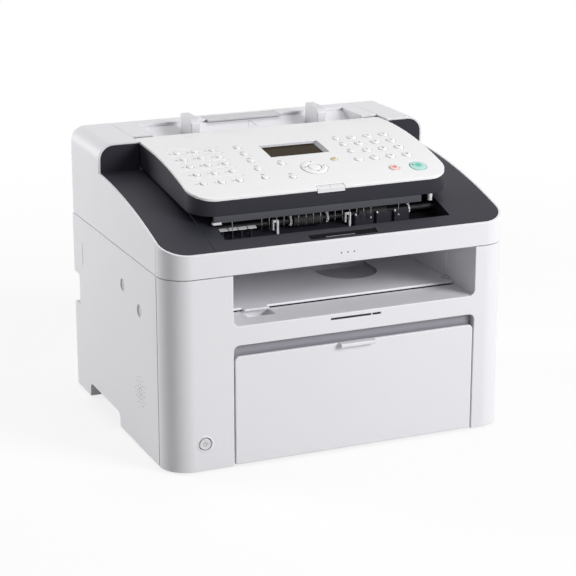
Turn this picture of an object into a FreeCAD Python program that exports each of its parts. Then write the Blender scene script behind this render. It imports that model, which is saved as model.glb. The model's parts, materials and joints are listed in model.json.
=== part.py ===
"""A desk fax machine: a white lower body with a paper tray, and an upper unit with a tilting control panel.

The frame has +X to the right, +Y to the back and +Z up, in millimetres, with the origin on the ground below
the middle of the outer box. Setbacks are measured backwards from the front face of the body.
"""

import FreeCAD, Part
import math
import os
import re

import Sketcher

Vector = FreeCAD.Vector
Rotation = FreeCAD.Rotation
Placement = FreeCAD.Placement

doc = FreeCAD.newDocument("fax_machine")

# Driving dimensions, each one a size that can be set by itself.
SIZES = {
    # outer body
    "body_width": 372,
    "body_depth": 297,
    "lip_reach": 6,
    "rear_bulge": 17,
    "foot_height": 2,
    "foot_radius": 10,
    "foot_inset": 44,
    "seam_height": 198,
    "seam_gap": 0.8,
    "upper_tall": 93.6,
    "wall": 2.5,
    "corner_radius": 28,
    "rear_corner_radius": 4,
    "shoulder_radius": 17,
    "gap": 0.3,
    "running_gap": 0.05,
    "roller_clear": 1,
    "pin_reach": 1,
    # front bay with the output slot and the paper tray
    "bay_centre": 15,
    "bay_margin": 108,
    "bay_corner": 6,
    "output_floor": 146.5,
    "tray_top": 126.5,
    "ledge_depth": 45,
    "ceiling_depth": 30,
    "slot_left": -13.6,
    "slot_width": 54.6,
    "slot_drop": 6.5,
    "slot_height": 2.2,
    "grip_inset": 25,
    "grip_width": 29,
    "grip_length": 21,
    "grip_depth": 8,
    "power_inset": 38,
    "power_height": 30,
    "power_radius": 6.5,
    "power_proud": 1,
    "power_length": 9,
    # paper tray door
    "door_drop": 11,
    "door_gap": 1.2,
    "door_thick": 3,
    "door_corner": 5,
    "door_edge": 1,
    "door_pivot_setback": 7,
    "door_pivot_height": 9,
    "door_pin_radius": 2.5,
    "door_pin_length": 4,
    "door_ear_width": 8,
    "door_ear_radius": 5,
    "lip_left": -5,
    "lip_width": 38.5,
    "lip_thick": 3.8,
    # toner cover, the floor of the output slot
    "plate_rise": 3.5,
    "plate_thick": 2.5,
    "plate_flat_end": 150,
    "plate_end": 188,
    "plate_back_drop": 3,
    "tab_inset": 27,
    "tab_width": 26,
    "tab_reach": 7,
    "scoop_x": 61,
    "scoop_setback": 124,
    "scoop_radius": 32,
    "scoop_depth": 4,
    "cover_pin_radius": 3,
    # side covers
    "hold_start": 150,
    "hold_length": 100,
    "hold_height": 15,
    "hold_depth": 31.7,
    "hold_corner": 7,
    "jack_low": 98,
    "jack_high": 132,
    "jack_depth": 18,
    "speaker_setback": 81.4,
    "speaker_height": 63,
    "speaker_radius": 18,
    "speaker_depth": 12,
    "magnet_radius": 10,
    "magnet_depth": 8,
    "grille_pitch": 3.9,
    "grille_hole_radius": 0.65,
    "dimple_radius": 6.5,
    "dimple_depth": 1.5,
    "dimple_a_setback": 131,
    "dimple_a_height": 161,
    "dimple_b_setback": 80,
    "dimple_b_height": 148.3,
    # frame and what it carries
    "pan_thick": 3,
    "pan_start": 20,
    "frame_clear": 4,
    "frame_thick": 3,
    "frame_start": 62,
    "frame_rear_gap": 23,
    "frame_drop": 5.6,
    "shaft_radius": 4,
    "pickup_setback": 152,
    "pickup_height": 58,
    "pickup_radius": 15,
    "pickup_width": 52,
    "fixing_setback": 236,
    "fixing_drop": 34,
    "fixing_radius": 12,
    "cartridge_start": 72,
    "cartridge_length": 92,
    "cartridge_low": 84,
    "cartridge_drop": 9.5,
    "cartridge_inset": 6,
    "cartridge_corner": 14,
    "cartridge_edge": 2,
    "laser_start": 188,
    "laser_rear_gap": 25,
    "laser_width": 200,
    "laser_height": 66,
    "laser_rear_height": 40,
    "bulkhead_gap": 6,
    "delivery_drop": 17,
    "delivery_tall": 9,
    "delivery_width": 224,
    "tray_length": 116,
    "tray_thick": 2.5,
    "tray_rail_height": 20,
    "sheet_cover_drop": 9,
    "sheet_cover_thick": 1.8,
    "sheet_cover_start": 7,
    "sheet_cover_gap": 7,
    "sheet_cover_flange": 18,
    "sheet_cover_lip": 9,
    "board_thick": 1.6,
    "board_standoff": 22,
    "standoff_radius": 3,
    "main_board_start": 75,
    "main_board_gap": 19,
    "main_board_low": 24,
    "main_board_height": 140,
    "supply_start": 120,
    "supply_gap": 6,
    "supply_low": 22,
    "supply_height": 100,
    "supply_standoff": 8,
    "inlet_inset": 20,
    "inlet_height": 42,
    "inlet_width": 27,
    "inlet_tall": 20,
    "inlet_depth": 18,
    "inlet_corner": 4,
    "inlet_edge": 1,
    "inlet_pin_drop": 8,
    "inlet_pin_width": 5,
    "inlet_pin_thick": 1.25,
    "inlet_pin_pitch": 6.75,
    "jack_block_width": 20,
    "jack_block_depth": 13,
    "jack_seat": 1,
    "jack_hole_wide": 9,
    "jack_hole_tall": 8,
    "jack_hole_deep": 11,
    # rear cover and the hinge of the upper unit
    "bulge_margin": 82,
    "bulge_low": 14,
    "bulge_drop": 10,
    "bulge_corner": 10,
    "hinge_inset": 66,
    "hinge_barrel_length": 24,
    "hinge_ear_thick": 5,
    "hinge_radius": 5,
    "hinge_pin_radius": 2.5,
    "hinge_rise": 6,
    "hinge_reach": 8,
    "screw_head_radius": 3.6,
    "screw_head_height": 1.6,
    "screw_radius": 1.5,
    "screw_length": 8,
    "screw_inset_x": 18,
    "screw_inset_z": 14,
    # upper unit
    "deck_rise": 23.6,
    "deck_rear_drop": 30.5,
    "deck_crest_reach": 40,
    "deck_thick": 2.5,
    "hump_depth": 97,
    "floor_thick": 2.5,
    "exit_left": -117,
    "exit_right": 126.5,
    "exit_front": 20,
    "path_rise": 16.6,
    "path_drop": 43,
    "path_thick": 2,
    "stopper_left": -33,
    "stopper_width": 72,
    "stopper_setback": 6.5,
    "stopper_length": 6.5,
    "stopper_thick": 2,
    "stopper_pin_radius": 0.7,
    "exit_roller_setback": 56,
    "exit_clear": 2.7,
    "exit_roller_radius": 6,
    "exit_rubber_left": -31,
    "exit_rubber_width": 31,
    "exit_rubber_pitch": 71,
    "roller_shaft_radius": 3,
    "star_radius": 5,
    "star_width": 2.4,
    "star_left": -45,
    "star_pitch": 47,
    "feed_inset": 14,
    "feed_proud": 3.65,
    "feed_radius": 11,
    "feed_width": 44,
    "scan_setback": 104,
    "scan_length": 20,
    "scan_proud": 0.6,
    # document tray
    "tray_left_gap": 0.5,
    "tray_right_gap": 2.5,
    "tray_front_gap": 6,
    "recess_left_gap": 3.8,
    "recess_right_gap": 1.8,
    "recess_rim": 21,
    "recess_lip": 3.5,
    "recess_drop": 3.5,
    "guide_centre": 5.5,
    "guide_half_gap": 68.2,
    "guide_width": 10,
    "guide_inset": 3,
    "guide_length": 34,
    "guide_rise": 12,
    "guide_nose": 8,
    "guide_nose_drop": 5,
    "guide_tongue": 5,
    "guide_tongue_inset": 14,
    "guide_travel": 39.5,
    "support_left": -38,
    "support_width": 86,
    "support_reach": 26,
    "support_rim": 5,
    "support_pin_radius": 0.8,
    # control panel
    "panel_width": 282,
    "panel_front": 42,
    "panel_overlap": 20,
    "panel_crest_drop": 1,
    "panel_radius": 480,
    "panel_corner": 25,
    "panel_rear_corner": 5,
    "panel_skin": 2,
    "tub_front_rise": 24.5,
    "tub_rear_rise": 6,
    "panel_pivot_reach": 15,
    "panel_pivot_drop": 8,
    "panel_pin_radius": 2.5,
    "panel_pin_length": 4,
    "pivot_lug": 8,
    "release_left": -10,
    "release_width": 30,
    "release_length": 6,
    "release_drop": 4,
    "release_skin": 1.2,
    "release_pin_radius": 0.7,
    "display_left": -30,
    "display_right": 35,
    "display_front": 112,
    "display_back": 147,
    "display_thick": 2.2,
    "display_border": 2,
    "board_depth": 6.2,
    # keys
    "key_proud": 1.2,
    "key_flange": 1.2,
    "key_flange_thick": 1,
    "key_edge": 0.5,
    "row_first": 145.3,
    "row_pitch": 18.6,
    "touch_left": -119.5,
    "touch_pitch": 19,
    "touch_radius": 3.6,
    "mode_x": -54,
    "mode_radius": 3.6,
    "dial_left": 75.3,
    "dial_pitch": 18.4,
    "dial_radius": 5,
    "side_x": 57.6,
    "side_radius": 3.6,
    "menu_x": -25.5,
    "menu_setback": 96,
    "return_setback": 67,
    "ring_x": 4,
    "ring_setback": 81.4,
    "ring_radius": 14,
    "ok_radius": 7,
    "saver_x": 32,
    "saver_setback": 94.5,
    "stop_x": 86,
    "stop_setback": 65,
    "stop_radius": 5.5,
    "start_x": 112.3,
    "start_setback": 64,
    "start_radius": 9,
    "web_width": 4,
}

# Places worked out from the driving dimensions.
PLACES = {
    "half": "body_width / 2",
    "front": "(lip_reach - body_depth - rear_bulge) / 2",
    "back": "front + body_depth",
    "rear": "back + rear_bulge",
    "low": "foot_height",
    "lower_top": "seam_height - seam_gap / 2",
    "lid": "seam_height + seam_gap / 2",
    "lid_floor": "lid + floor_thick",
    "top_height": "lid + upper_tall",
    "pan_top": "low + pan_thick",
    "bay_width": "body_width - bay_margin",
    "bay_left": "bay_centre - bay_width / 2",
    "bay_right": "bay_centre + bay_width / 2",
    "slot_level": "output_floor - slot_drop",
    "grip_left": "bay_left + grip_inset",
    "power_x": "power_inset - half",
    "door_top": "tray_top - door_drop",
    "door_left": "bay_left + door_gap",
    "door_right": "bay_right - door_gap",
    "door_low": "low + door_gap",
    "door_pivot_y": "front + door_pivot_setback",
    "frame_left": "bay_left - frame_clear",
    "frame_right": "bay_right + frame_clear",
    "frame_end": "body_depth - frame_rear_gap",
    "frame_top": "lower_top - frame_drop",
    "fixing_height": "frame_top - fixing_drop",
    "delivery_low": "frame_top - delivery_drop",
    "cartridge_high": "output_floor - cartridge_drop",
    "laser_length": "body_depth - laser_rear_gap - laser_start",
    "sheet_cover_low": "tray_top - sheet_cover_drop",
    "sheet_cover_length": "cartridge_start - sheet_cover_gap - sheet_cover_start",
    "main_board_length": "frame_end - main_board_gap - main_board_start",
    "supply_length": "frame_end - supply_gap - supply_start",
    "inlet_x": "half - inlet_inset",
    "plate_top": "output_floor + plate_rise",
    "plate_back_y": "front + plate_end",
    "plate_back_z": "delivery_low - plate_back_drop",
    "tab_left": "bay_left + tab_inset",
    "cover_pin_z": "plate_back_z - plate_thick / 2",
    "hinge_x": "half - hinge_inset",
    "hinge_y": "back + hinge_reach",
    "hinge_z": "lid + hinge_rise",
    "bulge_width": "body_width - bulge_margin",
    "bulge_top": "seam_height - bulge_drop",
    "wall_setback": "body_depth - hump_depth",
    "wall_y": "front + wall_setback",
    "deck_front": "lid + deck_rise",
    "deck_rear": "top_height - deck_rear_drop",
    "deck_climb": "deck_rear - deck_front",
    "deck_crest": "wall_setback + deck_crest_reach",
    "deck_axis_drop": "(deck_crest ^ 2 - deck_crest_reach ^ 2 - deck_climb ^ 2) / (2 * deck_climb)",
    "deck_radius": "sqrt(deck_crest ^ 2 + deck_axis_drop ^ 2)",
    "deck_centre_y": "front + deck_crest",
    "deck_centre_z": "deck_front - deck_axis_drop",
    "path_front": "lid + path_rise",
    "path_rear": "top_height - path_drop",
    "path_slope": "(path_rear - path_front) / (wall_setback - exit_front)",
    "exit_roller_height": "path_front + path_slope * (exit_roller_setback - exit_front)"
    " + exit_roller_radius + exit_clear",
    "feed_setback": "wall_setback - feed_inset",
    "feed_height": "path_front + path_slope * (feed_setback - exit_front) + feed_proud - feed_radius",
    "panel_half": "panel_width / 2",
    "panel_rear": "wall_setback + panel_overlap",
    "tray_left": "-panel_half - tray_left_gap",
    "tray_right": "panel_half + tray_right_gap",
    "tray_front": "panel_rear + tray_front_gap",
    "guide_reach": "guide_half_gap + guide_width + guide_travel",
    "recess_left": "guide_centre - guide_reach - recess_left_gap",
    "recess_right": "guide_centre + guide_reach + recess_right_gap",
    "recess_back": "body_depth - recess_rim",
    "recess_rear_height": "top_height - recess_lip",
    "recess_front_height": "path_rear + recess_drop",
    "recess_slope": "(recess_rear_height - recess_front_height) / (recess_back - wall_setback)",
    "guide_front": "tray_front + guide_inset",
    "guide_tongue_setback": "guide_front + guide_tongue_inset",
    "guide_top": "top_height + guide_rise",
    "guide_low_z": "recess_front_height + recess_slope * (guide_front - wall_setback) + gap",
    "guide_high_z": "guide_low_z + recess_slope * guide_length",
    "stopper_pin_y": "front + stopper_setback + stopper_length - stopper_thick / 2",
    "stopper_pin_z": "deck_centre_z - stopper_thick / 2"
    " + sqrt(deck_radius ^ 2 - (deck_crest - stopper_setback - stopper_length + stopper_thick / 2) ^ 2)",
    "support_front": "body_depth - support_reach",
    "support_back": "body_depth - support_rim",
    "support_pin_y": "front + support_back - wall / 2",
    "support_pin_z": "top_height - wall / 2",
    "panel_crest": "top_height - panel_crest_drop",
    "panel_centre_z": "panel_crest - panel_radius",
    "tub_front_height": "deck_front + tub_front_rise",
    "tub_rear_height": "deck_rear + tub_rear_rise",
    "panel_pivot_y": "front + wall_setback + panel_pivot_reach",
    "panel_pivot_height": "top_height - panel_pivot_drop",
    "release_pin_y": "front + panel_front + release_length - wall / 2",
    "release_pin_z": "panel_centre_z - wall / 2"
    " + sqrt(panel_radius ^ 2 - (wall_setback - panel_front - release_length + wall / 2) ^ 2)",
    "display_setback": "(display_front + display_back) / 2",
    "display_reach": "(display_back - display_front) / 2 + display_border",
    "display_sag": "panel_radius - wall - sqrt((panel_radius - wall) ^ 2 - display_reach ^ 2)",
    "shaft_hole": "shaft_radius + running_gap",
    "roller_hole": "roller_shaft_radius + running_gap",
}


def fill_sheet(name, cells, is_formula):
    """Makes a sheet with one alias per row, and returns it."""
    table = doc.addObject("Spreadsheet::Sheet", name)
    for row, (alias, content) in enumerate(cells.items(), start=1):
        table.set(f"A{row}", alias)
        table.set(f"B{row}", "=" + bind(content) if is_formula else str(content))
        table.setAlias(f"B{row}", alias)
    doc.recompute()
    return table


def bind(text):
    """Writes the sheet's name before each alias in an expression."""

    def full_name(match):
        word = match.group(0)
        if word in SIZES:
            return "sizes." + word
        if word in PLACES:
            return "places." + word
        return word

    return re.sub(r"[a-z][a-z_]*", full_name, str(text))


def value(text):
    """Works out an expression as a plain number."""
    found = sizes.evalExpression(bind(text))
    return float(getattr(found, "Value", found))


sizes = fill_sheet("sizes", SIZES, False)
places = fill_sheet("places", PLACES, True)


# Building blocks whose sizes and places are expressions.


def move(thing, x, y, z):
    """Binds the place of an object."""
    for axis, text in zip("xyz", (x, y, z)):
        thing.setExpression(f"Placement.Base.{axis}", bind(text))


def box(x, y, z):
    """Box between two places along each axis, each given as (low, high)."""
    thing = doc.addObject("Part::Box", "Block")
    for size, (low, high) in zip(("Length", "Width", "Height"), (x, y, z)):
        thing.setExpression(size, bind(f"({high}) - ({low})"))
    move(thing, x[0], y[0], z[0])
    return thing


def rod(axis, centre, radius, span):
    """Cylinder along an axis: centre holds the other two coordinates, in the order of x, y, z."""
    thing = doc.addObject("Part::Cylinder", "Rod")
    thing.setExpression("Radius", bind(radius))
    thing.setExpression("Height", bind(f"({span[1]}) - ({span[0]})"))
    if axis == "x":
        thing.Placement.Rotation = Rotation(Vector(0, 1, 0), 90)
        move(thing, span[0], *centre)
    elif axis == "y":
        thing.Placement.Rotation = Rotation(Vector(1, 0, 0), -90)
        move(thing, centre[0], span[0], centre[1])
    else:
        move(thing, *centre, span[0])
    return thing


def join(kind, things):
    """Boolean of several objects, or the object itself where there is only one."""
    if len(things) == 1:
        return things[0]
    result = doc.addObject(kind, "Joined")
    result.Shapes = list(things)
    result.Refine = True
    return result


def fuse(*things):
    """One solid from several that meet."""
    return join("Part::MultiFuse", things)


def common(*things):
    """What several solids share."""
    return join("Part::MultiCommon", things)


def cut(base, *tools):
    """A solid with others taken away."""
    result = doc.addObject("Part::Cut", "Trimmed")
    result.Base = base
    result.Tool = fuse(*tools)
    result.Refine = True
    return result


def group(*things):
    """Several separate solids in one object."""
    result = doc.addObject("Part::Compound", "Set")
    result.Links = list(things)
    return result


PLANES = {"xy": "XY_Plane", "xz": "XZ_Plane", "yz": "YZ_Plane"}


def corner_points(corners):
    """Numeric corners, with the tangent points and centre of each rounded one, for a first drawing."""
    places_2d = [Vector(value(c[0]), value(c[1]), 0) for c in corners]
    count = len(corners)
    drawn = []
    for i, here in enumerate(places_2d):
        radius = value(corners[i][2]) if len(corners[i]) > 2 else 0
        if radius == 0:
            drawn.append((here, here, None, 0, True))
            continue
        before = (places_2d[i - 1] - here).normalize()
        after = (places_2d[(i + 1) % count] - here).normalize()
        half_angle = before.getAngle(after) / 2
        reach = radius / math.tan(half_angle)
        centre = here + (before + after).normalize() * (radius / math.sin(half_angle))
        turns_left = (before * -1).cross(after).z > 0
        drawn.append((here + before * reach, here + after * reach, centre, radius, turns_left))
    return places_2d, drawn


def outline(sketch, corners):
    """Closed outline through corners (u, v) or (u, v, radius), given anticlockwise as expressions."""
    sharp, drawn = corner_points(corners)
    count = len(corners)
    lines = []
    for i in range(count):
        follow = drawn[(i + 1) % count]
        lines.append(sketch.addGeometry(Part.LineSegment(drawn[i][1], follow[0]), False))

    def pin(geometry, point, corner):
        for kind, text in zip(("DistanceX", "DistanceY"), corner[:2]):
            index = sketch.addConstraint(Sketcher.Constraint(kind, geometry, point, value(text)))
            sketch.setExpression(f"Constraints[{index}]", bind(text))

    for i, corner in enumerate(corners):
        start, end, centre, radius, turns_left = drawn[i]
        line_in, line_out = lines[i - 1], lines[i]
        if centre is None:
            sketch.addConstraint(Sketcher.Constraint("Coincident", line_in, 2, line_out, 1))
            pin(line_out, 1, corner)
            continue
        first, last = (start, end) if turns_left else (end, start)
        angles = [math.atan2(p.y - centre.y, p.x - centre.x) for p in (first, last)]
        circle = Part.Circle(centre, Vector(0, 0, 1), radius)
        arc = sketch.addGeometry(Part.ArcOfCircle(circle, *angles), False)
        arc_in, arc_out = (1, 2) if turns_left else (2, 1)
        apex = sketch.addGeometry(Part.Point(sharp[i]), True)
        pin(apex, 1, corner)
        sketch.addConstraint(Sketcher.Constraint("Tangent", line_in, 2, arc, arc_in))
        sketch.addConstraint(Sketcher.Constraint("Tangent", arc, arc_out, line_out, 1))
        sketch.addConstraint(Sketcher.Constraint("PointOnObject", apex, 1, line_in))
        sketch.addConstraint(Sketcher.Constraint("PointOnObject", apex, 1, line_out))
        index = sketch.addConstraint(Sketcher.Constraint("Radius", arc, radius))
        sketch.setExpression(f"Constraints[{index}]", bind(corner[2]))


def slab(plane, corners, span):
    """Outline padded across its plane, between two places on the third axis."""
    body = doc.addObject("PartDesign::Body", "Slab")
    role = PLANES[plane]
    support = next(feature for feature in body.Origin.OriginFeatures if feature.Role == role)
    sketch = body.newObject("Sketcher::SketchObject", "Outline")
    sketch.AttachmentSupport = (support, [""])
    sketch.MapMode = "FlatFace"
    start = f"-({span[1]})" if plane == "xz" else span[0]
    sketch.setExpression("AttachmentOffset.Base.z", bind(start))
    outline(sketch, corners)
    pad = body.newObject("PartDesign::Pad", "Pad")
    pad.Profile = sketch
    pad.setExpression("Length", bind(f"({span[1]}) - ({span[0]})"))
    sketch.Visibility = False
    return body


def rectangle(u, v, radii=("0", "0", "0", "0")):
    """Corners of an upright rectangle, anticlockwise from its low corner, each with a radius."""
    spots = ((u[0], v[0]), (u[1], v[0]), (u[1], v[1]), (u[0], v[1]))
    return [(*spot, radius) for spot, radius in zip(spots, radii)]


def rounded(base, radius, is_wanted):
    """Rounds the edges that a test picks."""
    doc.recompute()
    size = value(radius)
    picked = [(i, size, size) for i, e in enumerate(base.Shape.Edges, start=1) if is_wanted(e)]
    result = doc.addObject("Part::Fillet", "Rounded")
    result.Base = base
    result.Edges = picked
    return result


NODES = []


def sub_part(name, thing):
    """Names a finished piece."""
    thing.Label = name
    NODES.append(thing)
    return thing


# Shapes that several pieces share.


def plan(inset, z):
    """Upright prism of the body's plan, drawn in by an inset."""
    ahead = f"corner_radius - ({inset})"
    behind = f"rear_corner_radius - ({inset})"
    x = (f"-half + ({inset})", f"half - ({inset})")
    y = (f"front + ({inset})", f"back - ({inset})")
    return slab("xy", rectangle(x, y, (ahead, ahead, behind, behind)), z)


def shoulders(inset, y):
    """Prism along Y with the two shoulder roundings of the upper unit."""
    bend = f"shoulder_radius - ({inset})"
    x = (f"-half + ({inset})", f"half - ({inset})")
    z = ("lid - floor_thick", f"top_height - ({inset})")
    return slab("xz", rectangle(x, z, ("0", "0", bend, bend)), y)


def deck_drum(inset, x=("-half", "half")):
    """The big cylinder whose top is the deck."""
    return rod("x", ("deck_centre_y", "deck_centre_z"), f"deck_radius - ({inset})", x)


def panel_drum(inset, x=("-half", "half")):
    """The big cylinder whose top is the key plate."""
    return rod("x", ("wall_y", "panel_centre_z"), f"panel_radius - ({inset})", x)


def panel_plan(inset):
    """Upright prism of the control panel's plan."""
    ahead = f"panel_corner - ({inset})"
    behind = f"panel_rear_corner - ({inset})"
    side = f"panel_half - ({inset})"
    y = (f"front + panel_front + ({inset})", f"front + panel_rear - ({inset})")
    corners = rectangle((f"-({side})", side), y, (ahead, ahead, behind, behind))
    return slab("xy", corners, ("path_rear - shoulder_radius", "top_height + shoulder_radius"))


def path_prism(x, above, below):
    """Prism under the document path, between two heights measured from its floor."""
    a = f"path_front + ({above})"
    b = f"path_rear + ({above})"
    corners = [
        ("front + exit_front", f"path_front + ({below})"),
        ("wall_y + gap", f"path_rear + ({below})"),
        ("wall_y + gap", b),
        ("front + exit_front", a),
    ]
    return slab("yz", corners, x)


# Lower body.

SHAFT_SPAN = ("frame_left - frame_thick - gap", "frame_right + frame_thick + gap")


def make_base_frame():
    """Floor pan, two upright plates that carry the shafts, and the bulkhead behind the output slot."""
    bay = box(("bay_left - wall - gap", "bay_right + wall + gap"), ("front", "front + pan_start"),
              ("low - wall", "pan_top + wall"))
    holds = [
        box(x, ("front + hold_start - wall - gap", "front + hold_start + hold_length + wall + gap"),
            ("low - wall", "pan_top + wall"))
        for x in (("-half", "-half + hold_depth + gap"), ("half - hold_depth - gap", "half"))
    ]
    pan = cut(plan("wall + gap", ("low", "pan_top")), bay, *holds)
    upright = (("front + frame_start", "front + frame_end"), ("low", "frame_top"))
    left = box(("frame_left - frame_thick", "frame_left"), *upright)
    right = box(("frame_right", "frame_right + frame_thick"), *upright)
    ahead = "front + plate_end + bulkhead_gap"
    bulkhead = box(("frame_left", "frame_right"), (ahead, f"{ahead} + frame_thick"),
                   ("pan_top + laser_height + bulkhead_gap", "frame_top"))
    delivery = box(("bay_centre - delivery_width / 2", "bay_centre + delivery_width / 2"),
                   (f"{ahead} - frame_thick", f"{ahead} + 2 * frame_thick"),
                   ("delivery_low", "delivery_low + delivery_tall"))
    holes = [
        rod("x", (f"front + {name}_setback", f"{name}_height"), "shaft_hole", ("-half", "half"))
        for name in ("pickup", "fixing")
    ]
    holes.append(rod("x", ("plate_back_y", "cover_pin_z"), "cover_pin_radius + running_gap",
                     ("-half", "half")))
    sub_part("base_frame", cut(fuse(pan, left, right, cut(bulkhead, delivery)), *holes))


def side_outline(has_jacks):
    """Outline of a side cover, with its hand hold and, on one side, the notch for the jacks."""
    hold_end = "front + hold_start + hold_length"
    corners = [
        ("front + corner_radius + gap", "low"),
        ("front + hold_start", "low"),
        ("front + hold_start", "low + hold_height", "hold_corner"),
        (hold_end, "low + hold_height", "hold_corner"),
        (hold_end, "low"),
        ("back", "low"),
    ]
    if has_jacks:
        corners += [
            ("back", "jack_low"),
            ("back - jack_depth", "jack_low", "hold_corner / 2"),
            ("back - jack_depth", "jack_high", "hold_corner / 2"),
            ("back", "jack_high"),
        ]
    corners += [("back", "lower_top"), ("front + corner_radius + gap", "lower_top")]
    return corners


GRILLE_RINGS = 4
HOLES_PER_RING = 12


def speaker_holes():
    """Rings of small holes, each ring turned a little further than the one inside it."""
    holes = []
    for ring in range(1, GRILLE_RINGS + 1):
        for spot in range(HOLES_PER_RING):
            angle = 360 / HOLES_PER_RING * (spot + ring / 2)
            y = f"front + speaker_setback + grille_pitch * {ring} * cos({angle} deg)"
            z = f"speaker_height + grille_pitch * {ring} * sin({angle} deg)"
            holes.append(rod("x", (y, z), "grille_hole_radius", ("-half - wall", "-half + 2 * wall")))
    return holes


def hold_channel(x):
    """Moulded channel behind a hand hold, open below and towards the frame."""
    y = ("front + hold_start", "front + hold_start + hold_length")
    outer = rectangle((f"{y[0]} - wall", f"{y[1]} + wall"), ("low", "low + hold_height + wall"),
                      ("0", "0", "hold_corner + wall", "hold_corner + wall"))
    inner = rectangle(y, ("low - wall", "low + hold_height"), ("0", "0", "hold_corner", "hold_corner"))
    return cut(slab("yz", outer, x), slab("yz", inner, x))


def make_side_covers():
    """The two side covers."""
    left = fuse(slab("yz", side_outline(True), ("-half", "-half + wall")),
                hold_channel(("-half + wall / 2", "-half + hold_depth")))
    dimples = [
        rod("x", (f"front + dimple_{k}_setback", f"dimple_{k}_height"), "dimple_radius",
            ("-half - wall", "-half + dimple_depth"))
        for k in "ab"
    ]
    sub_part("left_cover", cut(left, *dimples, *speaker_holes()))
    right = fuse(slab("yz", side_outline(False), ("half - wall", "half")),
                 hold_channel(("half - hold_depth", "half - wall / 2")))
    sub_part("right_cover", right)


def make_front_cover():
    """Front cover: rounded corners, the band between the two openings, and the ledge of the output slot."""
    z = ("low", "lower_top")
    past = ("front - wall", "front + corner_radius")
    shell = cut(plan("0", z), plan("wall", ("low - wall", "lower_top + wall")),
                box(("-half - wall", "half + wall"), ("front + corner_radius", "back + wall"),
                    ("low - wall", "lower_top + wall")))
    bay = ("bay_left", "bay_right")
    bend = "bay_corner"
    output = slab("xz", rectangle(bay, ("output_floor", "lower_top + wall + bay_corner"),
                                  (bend, bend, "0", "0")), past)
    tray = slab("xz", rectangle(bay, ("low - wall - bay_corner", "tray_top"), ("0", "0", bend, bend)), past)
    slot = box(("slot_left", "slot_left + slot_width"), past, ("slot_level", "slot_level + slot_height"))
    button = rod("y", ("power_x", "power_height"), "power_radius + gap", past)
    ledge_y = ("front + wall / 2", "front + ledge_depth - gap")
    ledge = box(("bay_left - wall", "bay_right + wall"), ledge_y, ("output_floor - wall", "output_floor"))
    ceiling = box(("bay_left - wall", "bay_right + wall"), ("front + wall / 2", "front + ceiling_depth"),
                  ("tray_top", "tray_top + wall"))
    pocket_x = ("grip_left", "grip_left + grip_width")
    pocket_y = ("front + ledge_depth - grip_length", "front + ledge_depth")
    well = box(("grip_left - wall", "grip_left + grip_width + wall"),
               ("front + ledge_depth - grip_length - wall", "front + ledge_depth + wall"),
               ("output_floor - grip_depth - wall", "output_floor"))
    pocket = box(pocket_x, pocket_y, ("output_floor - grip_depth", "output_floor + wall"))
    cheek_y = ("front + wall / 2", "plate_back_y - cover_pin_radius - wall")
    cheeks = [
        box(x, cheek_y, ("output_floor - wall", "lower_top"))
        for x in (("bay_left - wall", "bay_left"), ("bay_right", "bay_right + wall"))
    ]
    jambs = [
        box(x, ("front + wall / 2", "front + pan_start - gap"), ("low", "tray_top + wall"))
        for x in (("bay_left - wall", "bay_left"), ("bay_right", "bay_right + wall"))
    ]
    pins = [
        rod("x", ("door_pivot_y", "door_pivot_height"), "door_pin_radius + running_gap", x)
        for x in (("bay_left - 2 * wall", "bay_left + wall"), ("bay_right - wall", "bay_right + 2 * wall"))
    ]
    whole = fuse(cut(shell, output, tray, slot), ledge, ceiling, well, *cheeks, *jambs)
    sub_part("front_cover", cut(whole, button, pocket, *pins))


def make_rear_cover():
    """Rear cover with its bulge, the pocket of the phone jacks and the ears of the upper unit's hinge."""
    sheet = box(("-half + wall + gap", "half - wall - gap"), ("back - wall", "back"), ("low", "lower_top"))
    bend = "bulge_corner"
    bulge_x = ("-bulge_width / 2", "bulge_width / 2")
    bulge = slab("xz", rectangle(bulge_x, ("bulge_low", "bulge_top"), (bend, bend, bend, bend)),
                 ("back - wall", "rear"))
    thin = "bulge_corner - wall"
    inner_x = ("-bulge_width / 2 + wall", "bulge_width / 2 - wall")
    inner = slab("xz", rectangle(inner_x, ("bulge_low + wall", "bulge_top - wall"), (thin, thin, thin, thin)),
                 ("back - 2 * wall", "rear - wall"))
    ears = []
    for side in (-1, 1):
        for edge in (-1, 1):
            middle = f"{side} * hinge_x + {edge} * (hinge_barrel_length / 2 + gap + hinge_ear_thick / 2)"
            x = (f"{middle} - hinge_ear_thick / 2", f"{middle} + hinge_ear_thick / 2")
            ears.append(rod("x", ("hinge_y", "hinge_z"), "hinge_radius", x))
            ears.append(box(x, ("hinge_y - hinge_radius", "hinge_y + hinge_radius"),
                            ("bulge_top - wall", "hinge_z")))
    pin = rod("x", ("hinge_y", "hinge_z"), "hinge_pin_radius + running_gap", ("-half", "half"))
    inlet = box(("inlet_x - inlet_width / 2 - gap", "inlet_x + inlet_width / 2 + gap"),
                ("back - 2 * wall", "back + wall"),
                ("inlet_height - inlet_tall / 2 - gap", "inlet_height + inlet_tall / 2 + gap"))
    screws = [rod("y", spot, "screw_radius + running_gap", ("back - 2 * wall", "back + wall"))
              for spot in screw_spots()]
    pocket = box(("-half + wall + gap", "-half + 2 * (wall + gap) + jack_block_width"),
                 ("back - jack_depth", "back - wall / 2"), ("jack_low - wall", "jack_high + wall"))
    jack = box(("-half", "-half + wall + 2 * gap + jack_block_width"),
               ("back - jack_depth - wall", "back + wall"), ("jack_low", "jack_high"))
    shell = fuse(cut(fuse(sheet, bulge), inner), pocket, *ears)
    sub_part("rear_cover", cut(shell, pin, inlet, jack, *screws))


def screw_spots():
    """Places of the rear cover's screws, as (x, z)."""
    return [
        (f"{side} * (half - screw_inset_x)", height)
        for side in (-1, 1)
        for height in ("low + screw_inset_z", "lower_top - screw_inset_z")
    ]


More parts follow.
